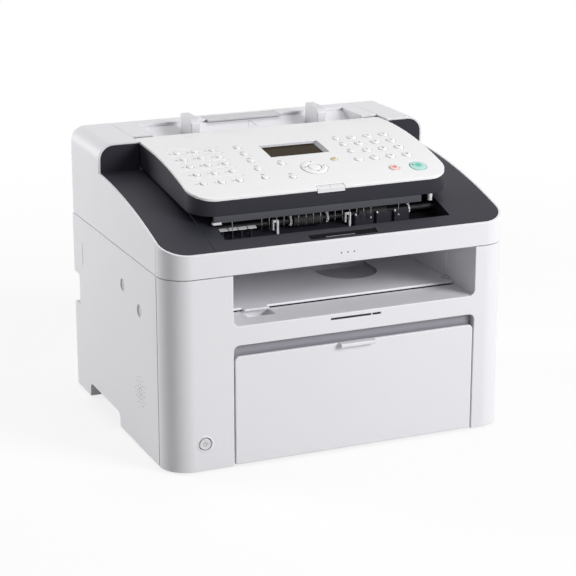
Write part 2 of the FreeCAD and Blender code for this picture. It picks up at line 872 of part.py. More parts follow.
def make_fasteners():
    """Screws, hinge pins and feet, each a set of equal solids."""
    screws = [
        fuse(rod("y", spot, "screw_head_radius", ("back", "back + screw_head_height")),
             rod("y", spot, "screw_radius", ("back - screw_length", "back + screw_head_height")))
        for spot in screw_spots()
    ]
    sub_part("cover_screws", group(*screws))
    reach = "hinge_barrel_length / 2 + gap + hinge_ear_thick"
    pins = [
        rod("x", ("hinge_y", "hinge_z"), "hinge_pin_radius",
            (f"{side} * hinge_x - ({reach})", f"{side} * hinge_x + {reach}"))
        for side in (-1, 1)
    ]
    sub_part("hinge_pins", group(*pins))
    feet = [
        rod("z", (f"{side} * (half - foot_inset)", y), "foot_radius", ("0", "foot_height"))
        for side in (-1, 1)
        for y in ("front + foot_inset", "back - foot_inset")
    ]
    sub_part("rubber_feet", group(*feet))


def make_tray_door():
    """Drop-down door of the paper tray, with its handle lip and its two pivot pins."""
    bend = "door_corner"
    z = ("door_low", "door_top")
    panel = slab("xz", rectangle(("door_left", "door_right"), z, ("door_edge", "door_edge", bend, bend)),
                 ("front", "front + door_thick"))
    lip = box(("lip_left", "lip_left + lip_width"), ("front - lip_reach", "front + door_thick"),
              ("door_top - lip_thick", "door_top"))
    face = value("front")
    edge = value("front - lip_reach")
    panel = rounded(panel, "door_edge", lambda e: abs(e.BoundBox.YMax - face) < 1e-6)
    lip = rounded(lip, "door_edge", lambda e: abs(e.BoundBox.YMax - edge) < 1e-6)
    pivots = []
    for near, far in (
        (("door_left", "door_left + door_ear_width"), ("door_left - door_pin_length", "door_left + wall")),
        (("door_right - door_ear_width", "door_right"),
         ("door_right - wall", "door_right + door_pin_length")),
    ):
        pivots.append(rod("x", ("door_pivot_y", "door_pivot_height"), "door_ear_radius", near))
        pivots.append(box(near, ("front + door_thick / 2", "door_pivot_y"),
                          ("door_pivot_height - door_ear_radius", "door_pivot_height + door_ear_radius")))
        pivots.append(rod("x", ("door_pivot_y", "door_pivot_height"), "door_pin_radius", far))
    sub_part("tray_door", fuse(panel, lip, *pivots))


def make_paper_tray():
    """Tray for the paper stack, standing on the floor pan behind the door."""
    x = ("bay_left + gap", "bay_right - gap")
    y = ("front + pan_start", "front + pan_start + tray_length")
    floor = box(x, y, ("pan_top", "pan_top + tray_thick"))
    rail = ("pan_top", "pan_top + tray_rail_height")
    left = box(("bay_left + gap", "bay_left + gap + tray_thick"), y, rail)
    right = box(("bay_right - gap - tray_thick", "bay_right - gap"), y, rail)
    stop = box(x, ("front + pan_start + tray_length - tray_thick", "front + pan_start + tray_length"), rail)
    sub_part("paper_tray", fuse(floor, left, right, stop))


def make_sheet_cover():
    """Dust cover over the paper, with an upright front, hung by two flanges from the ceiling."""
    x = ("bay_left + gap", "bay_right - gap")
    y = ("front + sheet_cover_start", "front + sheet_cover_start + sheet_cover_length")
    sheet = box(x, y, ("sheet_cover_low", "sheet_cover_low + sheet_cover_thick"))
    flange_y = (y[0], f"{y[0]} + sheet_cover_flange")
    flange_z = ("sheet_cover_low", "tray_top")
    left = box(("bay_left + gap", "bay_left + gap + sheet_cover_thick"), flange_y, flange_z)
    right = box(("bay_right - gap - sheet_cover_thick", "bay_right - gap"), flange_y, flange_z)
    upright = box(x, (y[0], f"{y[0]} + sheet_cover_thick"),
                  ("sheet_cover_low - sheet_cover_lip", "tray_top - gap"))
    sub_part("sheet_cover", fuse(sheet, left, right, upright))


def scoop_form(radius, end, z):
    """Form of the scoop: round in front, straight from its centre back to an end."""
    centre = ("scoop_x", "front + scoop_setback")
    nose = common(rod("z", centre, radius, z), box(("-half", "half"), ("front + ledge_depth", centre[1]), z))
    return fuse(nose, box((f"scoop_x - ({radius})", f"scoop_x + {radius}"), (centre[1], end), z))


def make_toner_cover():
    """Floor of the output slot: flat, then climbing to its pivots at the back, with a grip and a scoop."""
    x = ("bay_left + gap", "bay_right - gap")
    flat_y = "front + plate_flat_end"
    corners = [
        ("front + ledge_depth", "plate_top - plate_thick"),
        (flat_y, "plate_top - plate_thick"),
        ("plate_back_y", "plate_back_z - plate_thick"),
        ("plate_back_y", "plate_back_z"),
        (flat_y, "plate_top"),
        ("front + ledge_depth", "plate_top"),
    ]
    sheet = slab("yz", corners, x)
    tab = box(("tab_left", "tab_left + tab_width"),
              ("front + ledge_depth - tab_reach", "front + ledge_depth + wall"),
              ("plate_top - plate_thick", "plate_top"))
    bowl = scoop_form("scoop_radius + plate_thick", flat_y,
                      ("plate_top - scoop_depth - plate_thick", "plate_top"))
    hollow = scoop_form("scoop_radius", f"{flat_y} - plate_thick",
                        ("plate_top - scoop_depth", "plate_top + wall"))
    pivots = [
        rod("x", ("plate_back_y", "cover_pin_z"), "cover_pin_radius", span)
        for span in (("frame_left - frame_thick", "bay_left + gap + wall"),
                     ("bay_right - gap - wall", "frame_right + frame_thick"))
    ]
    sub_part("toner_cover", fuse(cut(fuse(sheet, tab, bowl), hollow), *pivots))


def make_power_button():
    """Round button with a flange behind the front cover."""
    spot = ("power_x", "power_height")
    cap = rod("y", spot, "power_radius", ("front - power_proud", "front + power_length"))
    edge = value("front - power_proud")
    cap = rounded(cap, "key_edge", lambda e: abs(e.BoundBox.YMax - edge) < 1e-6)
    flange = rod("y", spot, "power_radius + wall", ("front + wall + gap", "front + 2 * wall"))
    sub_part("power_button", fuse(cap, flange))


def make_paper_engine():
    """Pickup roller, fixing roller, toner cartridge and laser unit."""
    for name, width in (("pickup", "pickup_width"), ("fixing", "bay_width - 2 * frame_clear")):
        spot = (f"front + {name}_setback", f"{name}_height")
        span = (f"bay_centre - ({width}) / 2", f"bay_centre + ({width}) / 2")
        tyre = rod("x", spot, f"{name}_radius", span)
        sub_part(f"{name}_roller", fuse(tyre, rod("x", spot, "shaft_radius", SHAFT_SPAN)))
    ahead = "front + cartridge_start"
    behind = "front + cartridge_start + cartridge_length"
    bend = "cartridge_corner"
    case = slab("yz", rectangle((ahead, behind), ("cartridge_low", "cartridge_high"),
                                (bend, bend, "cartridge_edge", bend)),
                ("bay_left + cartridge_inset", "bay_right - cartridge_inset"))
    trunnions = rod("x", ("front + cartridge_start + cartridge_length / 2",
                          "(cartridge_low + cartridge_high) / 2"), "cartridge_corner / 2",
                    ("frame_left", "frame_right"))
    sub_part("toner_cartridge", fuse(case, trunnions))
    nose = [
        ("front + laser_start", "pan_top"),
        ("front + laser_start + laser_length", "pan_top"),
        ("front + laser_start + laser_length", "pan_top + laser_rear_height"),
        ("front + laser_start + laser_length / 2", "pan_top + laser_height"),
        ("front + laser_start", "pan_top + laser_height"),
    ]
    sub_part("laser_unit", slab("yz", nose, ("bay_centre - laser_width / 2", "bay_centre + laser_width / 2")))


def make_boards():
    """Main board, power supply, power inlet, phone jacks and speaker."""
    plate = "frame_left - frame_thick"
    outer = f"{plate} - board_standoff"
    y = ("front + main_board_start", "front + main_board_start + main_board_length")
    z = ("main_board_low", "main_board_low + main_board_height")
    board = box((f"{outer} - board_thick", outer), y, z)
    legs = [rod("x", spot, "standoff_radius", (f"{outer} - board_thick / 2", plate))
            for spot in leg_spots(y, z)]
    sub_part("main_board", fuse(board, *legs))
    plate = "frame_right + frame_thick"
    outer = f"{plate} + supply_standoff"
    y = ("front + supply_start", "front + supply_start + supply_length")
    z = ("supply_low", "supply_low + supply_height")
    board = box((outer, f"{outer} + board_thick"), y, z)
    legs = [rod("x", spot, "standoff_radius", (plate, f"{outer} + board_thick / 2"))
            for spot in leg_spots(y, z)]
    sub_part("power_supply", fuse(board, *legs))
    x = ("inlet_x - inlet_width / 2", "inlet_x + inlet_width / 2")
    tall = ("inlet_height - inlet_tall / 2", "inlet_height + inlet_tall / 2")
    bend = "inlet_corner"
    shell = slab("xz", rectangle(x, tall, ("inlet_edge", "inlet_edge", bend, bend)),
                 ("back - inlet_depth", "back + gap"))
    inner_x = ("inlet_x - inlet_width / 2 + wall", "inlet_x + inlet_width / 2 - wall")
    inner_z = ("inlet_height - inlet_tall / 2 + wall", "inlet_height + inlet_tall / 2 - wall")
    mouth = box(inner_x, ("back - inlet_depth + wall", "back + wall"), inner_z)
    pins = [
        box((f"inlet_x + {side} * inlet_pin_pitch - inlet_pin_thick / 2",
             f"inlet_x + {side} * inlet_pin_pitch + inlet_pin_thick / 2"),
            ("back - inlet_depth + wall / 2", "back - inlet_pin_drop"),
            ("inlet_height - inlet_pin_width / 2", "inlet_height + inlet_pin_width / 2"))
        for side in (-1, 0, 1)
    ]
    sub_part("power_inlet", fuse(cut(shell, mouth), *pins))
    face = "back - jack_depth + jack_seat"
    block = box(("-half + wall + gap", "-half + wall + gap + jack_block_width"),
                (f"{face} - jack_block_depth", face), ("jack_low + gap", "jack_high - gap"))
    middle = "-half + wall + gap + jack_block_width / 2"
    mouths = [
        box((f"{middle} - jack_hole_wide / 2", f"{middle} + jack_hole_wide / 2"),
            (f"{face} - jack_hole_deep", "back"),
            (f"{height} - jack_hole_tall / 2", f"{height} + jack_hole_tall / 2"))
        for height in ("jack_low + (jack_high - jack_low) / 4", "jack_high - (jack_high - jack_low) / 4")
    ]
    sub_part("phone_jacks", cut(block, *mouths))
    spot = ("front + speaker_setback", "speaker_height")
    basket = rod("x", spot, "speaker_radius", ("-half + wall", "-half + wall + speaker_depth"))
    magnet = rod("x", spot, "magnet_radius", ("-half + wall", "-half + wall + speaker_depth + magnet_depth"))
    sub_part("speaker", fuse(basket, magnet))


def leg_spots(y, z):
    """Places of a board's four legs, drawn in from its corners."""
    inset = "2 * standoff_radius"
    return [(a, b) for a in (f"{y[0]} + {inset}", f"{y[1]} - {inset}")
            for b in (f"{z[0]} + {inset}", f"{z[1]} - {inset}")]


# Upper unit.


def make_upper_cover():
    """White shell of the upper unit: a rim round the deck, and the hump behind it with rounded shoulders."""
    tall = ("lid", "top_height")
    deck_side = common(deck_drum("0"), box(("-half", "half"), ("front", "wall_y"), tall))
    hump = box(("-half", "half"), ("wall_y", "back"), tall)
    envelope = common(plan("0", tall), shoulders("0", ("front", "back")), fuse(deck_side, hump))
    inner = common(plan("wall", ("lid - wall", "top_height")), shoulders("wall", ("front", "back")))
    opening = box(("tray_left", "tray_right"), ("wall_y - wall", "back - wall"),
                  ("top_height - 2 * wall", "top_height + wall"))
    arms = []
    for side in (-1, 1):
        x = (f"{side} * hinge_x - hinge_barrel_length / 2", f"{side} * hinge_x + hinge_barrel_length / 2")
        arms.append(rod("x", ("hinge_y", "hinge_z"), "hinge_radius", x))
        arms.append(box(x, ("back - wall", "hinge_y"), ("hinge_z - hinge_radius", "hinge_z")))
    pin = rod("x", ("hinge_y", "hinge_z"), "hinge_pin_radius + running_gap", ("-half", "half"))
    sub_part("upper_cover", cut(fuse(cut(envelope, inner, opening), *arms), pin))


def make_upper_frame():
    """Floor plate of the upper unit, which is the ceiling of the output slot."""
    sub_part("upper_frame", plan("wall + gap", ("lid", "lid_floor")))


def make_deck_panel():
    """Charcoal deck with its upright wall, and the sunken channel that the documents leave through."""
    inset = "wall + gap"
    tall = ("lid_floor", "top_height")
    band = common(cut(deck_drum("0"), deck_drum("deck_thick")), plan(inset, tall),
                  box(("-half", "half"), ("front", "wall_y + wall"), tall))
    upright = common(shoulders(inset, ("wall_y", "wall_y + wall")),
                     cut(box(("-half", "half"), ("wall_y", "wall_y + wall"), tall), deck_drum("deck_thick")))
    doorway = box(("tray_left", "tray_right"), ("wall_y - wall", "wall_y + 2 * wall"),
                  ("path_rear - wall", "top_height + wall"))
    mouth = box(("exit_left", "exit_right"), ("front + exit_front", "wall_y + 2 * wall"),
                ("lid_floor", "top_height"))
    slot = box(("stopper_left - gap", "stopper_left + stopper_width + gap"),
               ("front + stopper_setback - stopper_thick / 2",
                "front + stopper_setback + stopper_length + stopper_thick / 2"), tall)
    skin = cut(fuse(band, upright), doorway, mouth, slot)
    floor = path_prism(("exit_left - wall / 2", "exit_right + wall / 2"), "0", "-path_thick")
    sides = [
        common(box(x, ("front + exit_front - path_thick", "wall_y + gap"), tall), deck_drum("deck_thick / 2"))
        for x in (("exit_left - path_thick", "exit_left"), ("exit_right", "exit_right + path_thick"))
    ]
    lip = common(box(("exit_left - path_thick", "exit_right + path_thick"),
                     ("front + exit_front - path_thick", "front + exit_front"),
                     ("path_front - path_thick", "top_height")), deck_drum("deck_thick / 2"))
    lugs = []
    for low, high in (("tray_left - path_thick", "tray_left"), ("tray_right", "tray_right + path_thick")):
        lugs.append(box((low, high), ("wall_y + wall / 2", "panel_pivot_y + pivot_lug"),
                        ("panel_pivot_height - pivot_lug", "top_height - wall - gap")))
    pivot = rod("x", ("panel_pivot_y", "panel_pivot_height"), "panel_pin_radius + running_gap",
                ("-half", "half"))
    feed_slot = box(("guide_centre - feed_width / 2 - roller_clear",
                     "guide_centre + feed_width / 2 + roller_clear"),
                    ("front + feed_setback - feed_radius", "front + feed_setback + feed_radius"),
                    ("lid_floor", "path_rear + wall"))
    scan_slot = box(("exit_left + path_thick - gap", "exit_right - path_thick + gap"),
                    ("front + scan_setback - scan_length / 2 - gap",
                     "front + scan_setback + scan_length / 2 + gap"),
                    ("lid_floor", "path_rear"))
    bearings = [
        rod("x", (f"front + {name}_setback", f"{name}_height"), "roller_hole", x)
        for name in ("exit_roller", "feed")
        for x in (("exit_left - 2 * path_thick", "exit_left + path_thick"),
                  ("exit_right - path_thick", "exit_right + 2 * path_thick"))
    ]
    hinge_gap = rod("x", ("stopper_pin_y", "stopper_pin_z"), "stopper_pin_radius + running_gap",
                    ("stopper_left - wall", "stopper_left + stopper_width + wall"))
    whole = fuse(skin, floor, lip, *sides, *lugs)
    sub_part("deck_panel", cut(whole, pivot, feed_slot, scan_slot, hinge_gap, *bearings))


def make_document_stopper():
    """Small flap in the deck that stands up to hold the scanned sheets."""
    x = ("stopper_left", "stopper_left + stopper_width")
    y = ("front + stopper_setback", "front + stopper_setback + stopper_length")
    flap = common(cut(deck_drum("0"), deck_drum("stopper_thick")), box(x, y, ("lid_floor", "top_height")))
    pin = rod("x", ("stopper_pin_y", "stopper_pin_z"), "stopper_pin_radius",
              ("stopper_left - gap - pin_reach", "stopper_left + stopper_width + gap + pin_reach"))
    sub_part("document_stopper", fuse(flap, pin))


def make_document_rollers():
    """Exit roller with its star wheels, feed roller, and the scan unit under the path."""
    shaft = ("exit_left - path_thick - gap", "exit_right + path_thick + gap")
    spot = ("front + exit_roller_setback", "exit_roller_height")
    tyres = [
        rod("x", spot, "exit_roller_radius",
            (f"exit_rubber_left + {k} * exit_rubber_pitch",
             f"exit_rubber_left + {k} * exit_rubber_pitch + exit_rubber_width"))
        for k in (0, 1)
    ]
    stars = [
        rod("x", spot, "star_radius",
            (f"star_left + {k} * star_pitch", f"star_left + {k} * star_pitch + star_width"))
        for k in (0, 1, 3)
    ]
    sub_part("exit_roller", fuse(rod("x", spot, "roller_shaft_radius", shaft), *tyres, *stars))
    spot = ("front + feed_setback", "feed_height")
    tyre = rod("x", spot, "feed_radius", ("guide_centre - feed_width / 2", "guide_centre + feed_width / 2"))
    sub_part("feed_roller", fuse(rod("x", spot, "roller_shaft_radius", shaft), tyre))
    near = "scan_setback - scan_length / 2"
    far = "scan_setback + scan_length / 2"
    corners = [
        (f"front + {near}", "lid_floor"),
        (f"front + {far}", "lid_floor"),
        (f"front + {far}", f"path_front + path_slope * ({far} - exit_front) + scan_proud"),
        (f"front + {near}", f"path_front + path_slope * ({near} - exit_front) + scan_proud"),
    ]
    sub_part("scan_unit", slab("yz", corners, ("exit_left + path_thick", "exit_right - path_thick")))


def tray_line(setback, lift):
    """Height of the document tray's sloping floor at a setback."""
    return f"recess_front_height + recess_slope * ({setback} - wall_setback) + ({lift})"


def make_document_tray():
    """White tray at the top of the upper unit, whose floor slopes down under the control panel."""
    start = "wall_setback + wall"
    floor = slab("yz", [
        (f"front + {start}", tray_line(start, "-wall")),
        ("front + recess_back + wall", tray_line("recess_back + wall", "-wall")),
        ("front + recess_back + wall", "top_height - wall / 2"),
        ("front + recess_back", "recess_rear_height"),
        (f"front + {start}", tray_line(start, "0")),
    ], ("recess_left - wall", "recess_right + wall"))
    top = box(("tray_left + gap", "tray_right - gap"), ("front + tray_front", "back - wall - gap"),
              ("top_height - wall", "top_height"))
    window = box(("recess_left", "recess_right"), ("front + tray_front - wall", "front + recess_back"),
                 ("top_height - 2 * wall", "top_height + wall"))
    cheek = [
        ("front + tray_front", tray_line("tray_front", "-wall")),
        ("front + recess_back + wall", tray_line("recess_back + wall", "-wall")),
        ("front + recess_back + wall", "top_height - wall / 2"),
        ("front + tray_front", "top_height - wall / 2"),
    ]
    cheeks = [slab("yz", cheek, x) for x in
              (("recess_left - wall", "recess_left"), ("recess_right", "recess_right + wall"))]
    inner = "guide_half_gap - gap"
    outer = "guide_reach + gap"
    grooves = [
        box(x, ("front + guide_tongue_setback - gap", "front + guide_tongue_setback + guide_tongue + gap"),
            ("path_rear", "top_height - wall"))
        for x in ((f"guide_centre - ({outer})", f"guide_centre - ({inner})"),
                  (f"guide_centre + {inner}", f"guide_centre + {outer}"))
    ]
    bed = box(("support_left - gap", "support_left + support_width + gap"),
              ("front + recess_back - wall", "front + support_back + wall / 2"),
              ("top_height - wall - gap", "top_height + wall"))
    pin = rod("x", ("support_pin_y", "support_pin_z"), "support_pin_radius + running_gap",
              ("support_left - wall", "support_left + support_width + wall"))
    whole = fuse(cut(top, window), floor, *cheeks)
    sub_part("document_tray", cut(whole, bed, pin, *grooves))


def make_document_guides():
    """Two guides that slide apart together, each on a tongue through its groove in the tray."""
    corners = [
        ("front + guide_front", "guide_low_z"),
        ("front + guide_front + guide_length", "guide_high_z"),
        ("front + guide_front + guide_length", "guide_top"),
        ("front + guide_front + guide_nose", "guide_top"),
        ("front + guide_front", "guide_top - guide_nose_drop"),
    ]
    tongue_y = ("front + guide_tongue_setback", "front + guide_tongue_setback + guide_tongue")
    tongue_z = (tray_line("guide_tongue_setback", "-2 * wall"), "guide_high_z + wall")
    for side, near, far in (
        ("left", "guide_centre - guide_half_gap - guide_width", "guide_centre - guide_half_gap"),
        ("right", "guide_centre + guide_half_gap", "guide_centre + guide_half_gap + guide_width"),
    ):
        blade = slab("yz", corners, (near, far))
        tongue = box((near, far), tongue_y, tongue_z)
        sub_part(f"document_guide_{side}", fuse(blade, tongue))


def make_document_support():
    """Flap in the rear rim that swings up to carry long sheets."""
    x = ("support_left", "support_left + support_width")
    flap = box(x, ("front + support_front", "front + support_back"), ("top_height - wall", "top_height"))
    pin = rod("x", ("support_pin_y", "support_pin_z"), "support_pin_radius",
              ("support_left - gap - pin_reach", "support_left + support_width + gap + pin_reach"))
    sub_part("document_support", fuse(flap, pin))


# Control panel.


def tub_prism(inset, lift):
    """Region above the sloping underside of the control panel."""
    ahead = f"tub_front_height + ({lift})"
    behind = f"tub_rear_height + ({lift})"
    side = f"panel_half - ({inset})"
    corners = [
        (f"front + panel_front + ({inset})", ahead),
        (f"front + panel_rear - ({inset})", behind),
        (f"front + panel_rear - ({inset})", "top_height + wall"),
        (f"front + panel_front + ({inset})", "top_height + wall"),
    ]
    return slab("yz", corners, (f"-({side})", side))


def release_notch(extra):
    """Block round the release tab at the panel's front edge."""
    return box((f"release_left - ({extra})", f"release_left + release_width + {extra}"),
               ("front + panel_front - wall", f"front + panel_front + release_length + {extra}"),
               ("tub_front_height", "top_height"))


def make_panel_shells():
    """Charcoal tub and the white key plate on it, with an opening for every key and the display."""
    seat = "wall + running_gap"
    outer = common(panel_plan("0"), tub_prism("0", "0"), panel_drum(seat))
    hollow = common(panel_plan("panel_skin"), tub_prism("panel_skin", "panel_skin"), panel_drum("0"))
    pins = [
        rod("x", ("panel_pivot_y", "panel_pivot_height"), "panel_pin_radius", span)
        for span in (("tray_left - panel_pin_length + panel_skin", "-panel_half + panel_skin"),
                     ("panel_half - panel_skin", "tray_right + panel_pin_length - panel_skin"))
    ]
    tub_notch = common(release_notch("gap"), cut(panel_drum("0"), panel_drum("wall + release_drop + gap")))
    sub_part("panel_base", fuse(cut(outer, hollow, tub_notch), *pins))
    plate = common(panel_plan("0"), cut(panel_drum("0"), panel_drum("wall")))
    window = tilted_box("display_setback", ("display_left", "display_right"),
                        "display_back - display_front", ("-wall", "2 * wall"))
    release_pin = rod("x", ("release_pin_y", "release_pin_z"), "release_pin_radius + running_gap",
                      ("release_left - gap - 2 * wall", "release_left + release_width + gap + 2 * wall"))
    sub_part("panel_plate", cut(plate, window, release_notch("gap"), release_pin, *key_holes()))
    depth = "wall + display_sag + running_gap"
    sub_part("display", tilted_box(
        "display_setback", ("display_left - display_border", "display_right + display_border"),
        "2 * display_reach", (depth, f"{depth} + display_thick")))
    inset = "panel_skin + gap"
    board = common(panel_plan(inset), tub_prism(inset, "panel_skin + gap"),
                   cut(panel_drum("board_depth"), panel_drum("board_depth + board_thick")))
    sub_part("panel_board", board)


def make_release_tab():
    """Sprung tab at the front edge that frees the control panel, with an apron over the tub's notch."""
    edge = "front + panel_front - gap"
    tab = common(release_notch("0"), cut(panel_drum("gap"), panel_drum("wall")),
                 box(("-half", "half"), (edge, "back"), ("lid", "top_height")))
    apron = common(release_notch("0"), cut(panel_drum("gap"), panel_drum("wall + release_drop")),
                   box(("-half", "half"), (edge, f"{edge} + release_skin"), ("lid", "top_height")))
    pin = rod("x", ("release_pin_y", "release_pin_z"), "release_pin_radius",
              ("release_left - wall", "release_left + release_width + wall"))
    sub_part("release_tab", fuse(tab, apron, pin))


# Keys stand square to the curved plate, so each is turned about X by the slope of the plate at its setback.


def tilt(thing, x, setback, depth):
    """Places an object on the key plate, its Z along the plate's normal, a depth below the top."""
    slope = f"asin((wall_setback - ({setback})) / panel_radius)"
    reach = f"(panel_radius - ({depth}))"
    move(thing, x, f"wall_y - {reach} * sin({slope})", f"panel_centre_z + {reach} * cos({slope})")
    thing.Placement.Rotation = Rotation(Vector(1, 0, 0), 1)
    thing.setExpression("Placement.Rotation.Angle", bind(slope))


def tilted_rod(x, setback, radius, depths):
    """Cylinder square to the key plate between two depths below its top."""
    thing = doc.addObject("Part::Cylinder", "Rod")
    thing.setExpression("Radius", bind(radius))
    thing.setExpression("Height", bind(f"({depths[1]}) - ({depths[0]})"))
    tilt(thing, x, setback, depths[1])
    return thing


def tilted_box(setback, x, length, depths):
    """Block square to the key plate, centred on a setback, between two depths below its top."""
    half_length = f"({length}) / 2"
    slope = f"asin((wall_setback - ({setback})) / panel_radius)"
    thing = doc.addObject("Part::Box", "Block")
    thing.setExpression("Length", bind(f"({x[1]}) - ({x[0]})"))
    thing.setExpression("Width", bind(length))
    thing.setExpression("Height", bind(f"({depths[1]}) - ({depths[0]})"))
    tilt(thing, x[0], setback, depths[1])
    reach = f"(panel_radius - ({depths[1]}))"
    thing.setExpression("Placement.Base.y",
                        bind(f"wall_y - {reach} * sin({slope}) - {half_length} * cos({slope})"))
    thing.setExpression("Placement.Base.z",
                        bind(f"panel_centre_z + {reach} * cos({slope}) - {half_length} * sin({slope})"))
    return thing


def row(number):
    """Setback of a row of keys, counted from the back."""
    return f"row_first - {number} * row_pitch"


DIAL_NAMES = ("1", "2", "3", "4", "5", "6", "7", "8", "9", "star", "0", "hash")

# Keys that stand alone: name, place across, setback and radius.
SINGLE_KEYS = [
    ("menu_key", "menu_x", "menu_setback", "mode_radius"),
    ("return_key", "menu_x", "return_setback", "mode_radius"),
    ("saver_key", "saver_x", "saver_setback", "mode_radius"),
    ("stop_key", "stop_x", "stop_setback", "stop_radius"),
    ("start_key", "start_x", "start_setback", "start_radius"),
] + [
    (f"dial_key_{name}", f"dial_left + {i % 3} * dial_pitch", row(i // 3), "dial_radius")
    for i, name in enumerate(DIAL_NAMES)
]

# Keys moulded as one piece on a thin web: name, and the place, setback and radius of each cap.
KEY_STRIPS = [
    ("mode_keys", [("mode_x", row(i), "mode_radius") for i in range(5)]),
    ("side_keys", [("side_x", row(i), "side_radius" if i < 3 else "dial_radius") for i in range(4)]),
    ("one_touch_keys", [(f"touch_left + {column} * touch_pitch", row(i), "touch_radius")
                        for i in range(5) for column in range(3)]),
]


def key_holes():
    """Openings of the key plate, a gap wider than the keys."""
    spots = [(x, setback, radius) for name, x, setback, radius in SINGLE_KEYS]
    for name, caps in KEY_STRIPS:
        spots += caps
    spots.append(("ring_x", "ring_setback", "ring_radius"))
    return [tilted_rod(x, setback, f"{radius} + gap", ("-wall", "2 * wall")) for x, setback, radius in spots]


FLANGE = ("wall + gap", "wall + gap + key_flange_thick")


def key_cap(x, setback, radius):
    """Round key with a softened top edge and a flange under the plate."""
    cap = tilted_rod(x, setback, radius, ("-key_proud", FLANGE[1]))
    doc.recompute()
    top = max(edge.CenterOfMass.z for edge in cap.Shape.Edges if edge.isClosed())
    cap = rounded(cap, "key_edge", lambda e: e.isClosed() and abs(e.CenterOfMass.z - top) < 1e-6)
    return fuse(cap, tilted_rod(x, setback, f"{radius} + key_flange", FLANGE))


def web(spots):
    """Thin curved sheet under the plate that ties a set of keys together, half as thick as their flanges."""
    across = sorted({x for x, setback, radius in spots}, key=value)
    along = sorted({setback for x, setback, radius in spots}, key=value)
    margin = "web_width / 2"
    region = box((f"{across[0]} - {margin}", f"{across[-1]} + {margin}"),
                 (f"front + {along[0]} - {margin}", f"front + {along[-1]} + {margin}"),
                 ("tub_front_height", "top_height"))
    upper = panel_drum(f"{FLANGE[0]} + key_flange_thick / 4")
    lower = panel_drum(f"{FLANGE[1]} - key_flange_thick / 4")
    return common(region, cut(upper, lower))


def make_keys():
    """All keys of the control panel."""
    for name, x, setback, radius in SINGLE_KEYS:
        sub_part(name, key_cap(x, setback, radius))
    for name, spots in KEY_STRIPS:
        sub_part(name, fuse(web(spots), *[key_cap(*spot) for spot in spots]))
    ring = key_cap("ring_x", "ring_setback", "ring_radius")
    bore = tilted_rod("ring_x", "ring_setback", "ok_radius + gap", ("-2 * wall", "3 * wall"))
    sub_part("ring_key", cut(ring, bore))
    ok = tilted_rod("ring_x", "ring_setback", "ok_radius", ("-key_proud", FLANGE[1]))
    sub_part("ok_key", ok)


def export():
    """Checks every object and writes each sub-part to its own file."""
    doc.recompute()
    for thing in doc.Objects:
        if "Invalid" in thing.State or "Error" in thing.State:
            raise RuntimeError(f"{thing.Name} ({thing.Label}) is {thing.State}")
    for node in NODES:
        if node.Shape.isNull() or not node.Shape.isValid():
            raise RuntimeError(f"{node.Label} has no valid shape")
        print(node.Label, len(node.Shape.Solids), "solids,", round(node.Shape.Volume / 1000, 2), "cm3")
    os.makedirs("parts", exist_ok=True)
    for node in NODES:
        node.Shape.exportStep(f"parts/{node.Label}.step")


make_base_frame()
make_side_covers()
make_front_cover()
make_rear_cover()
make_fasteners()
make_tray_door()
make_paper_tray()
make_sheet_cover()
make_toner_cover()
make_power_button()
make_paper_engine()
make_boards()
make_upper_cover()
make_upper_frame()
make_deck_panel()
make_document_stopper()
make_document_rollers()
make_document_tray()
make_document_guides()
make_document_support()
make_panel_shells()
make_release_tab()
make_keys()
export()
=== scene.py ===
"""Looks of a desk fax machine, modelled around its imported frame.

Lengths are millimetres in the part's own frame: +X to the right, +Y to the back, +Z up. Setbacks are measured
backwards from the front face of the body. A mesh becomes metres where its piece is finished. The floor and
the lamps of the studio are in metres.
"""

import json
import logging
import math
from dataclasses import dataclass
from enum import Enum
from typing import Callable, Optional, Sequence

import bmesh
import bpy
from mathutils import Matrix, Vector

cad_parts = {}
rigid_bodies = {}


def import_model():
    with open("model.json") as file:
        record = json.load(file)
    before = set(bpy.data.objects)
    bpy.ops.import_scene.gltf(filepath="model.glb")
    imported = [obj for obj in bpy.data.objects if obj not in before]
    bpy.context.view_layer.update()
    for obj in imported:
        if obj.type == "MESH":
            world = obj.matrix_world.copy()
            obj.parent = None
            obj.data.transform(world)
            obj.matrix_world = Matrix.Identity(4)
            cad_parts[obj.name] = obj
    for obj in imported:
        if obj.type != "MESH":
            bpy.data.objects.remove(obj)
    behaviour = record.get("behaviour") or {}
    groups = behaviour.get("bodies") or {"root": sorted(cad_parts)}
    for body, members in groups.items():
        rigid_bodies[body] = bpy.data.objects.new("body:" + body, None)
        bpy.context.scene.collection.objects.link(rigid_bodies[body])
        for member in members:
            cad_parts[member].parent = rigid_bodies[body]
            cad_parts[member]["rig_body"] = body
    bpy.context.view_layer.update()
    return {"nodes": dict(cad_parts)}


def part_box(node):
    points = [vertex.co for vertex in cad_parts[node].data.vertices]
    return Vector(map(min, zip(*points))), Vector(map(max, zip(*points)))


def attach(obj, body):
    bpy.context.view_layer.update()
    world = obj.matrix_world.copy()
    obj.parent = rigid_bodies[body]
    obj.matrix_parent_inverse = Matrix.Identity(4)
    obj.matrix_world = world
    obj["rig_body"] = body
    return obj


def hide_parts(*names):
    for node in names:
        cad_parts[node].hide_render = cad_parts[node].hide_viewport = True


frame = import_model()

log = logging.getLogger("fax_machine")

MM = 0.001
Mesh = bmesh.types.BMesh
Point = Sequence[float]
# A span runs from a low to a high end, and a corner is a place in an outline or a profile.
Span = tuple[float, float]
Corner = tuple[float, float]
Measures = tuple[float, ...]
SpotTest = Callable[[Vector], bool]


def low_corner(node: str) -> Vector:
    """Lowest corner of a CAD node's box."""
    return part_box(node)[0] / MM


def high_corner(node: str) -> Vector:
    """Highest corner of a CAD node's box."""
    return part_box(node)[1] / MM


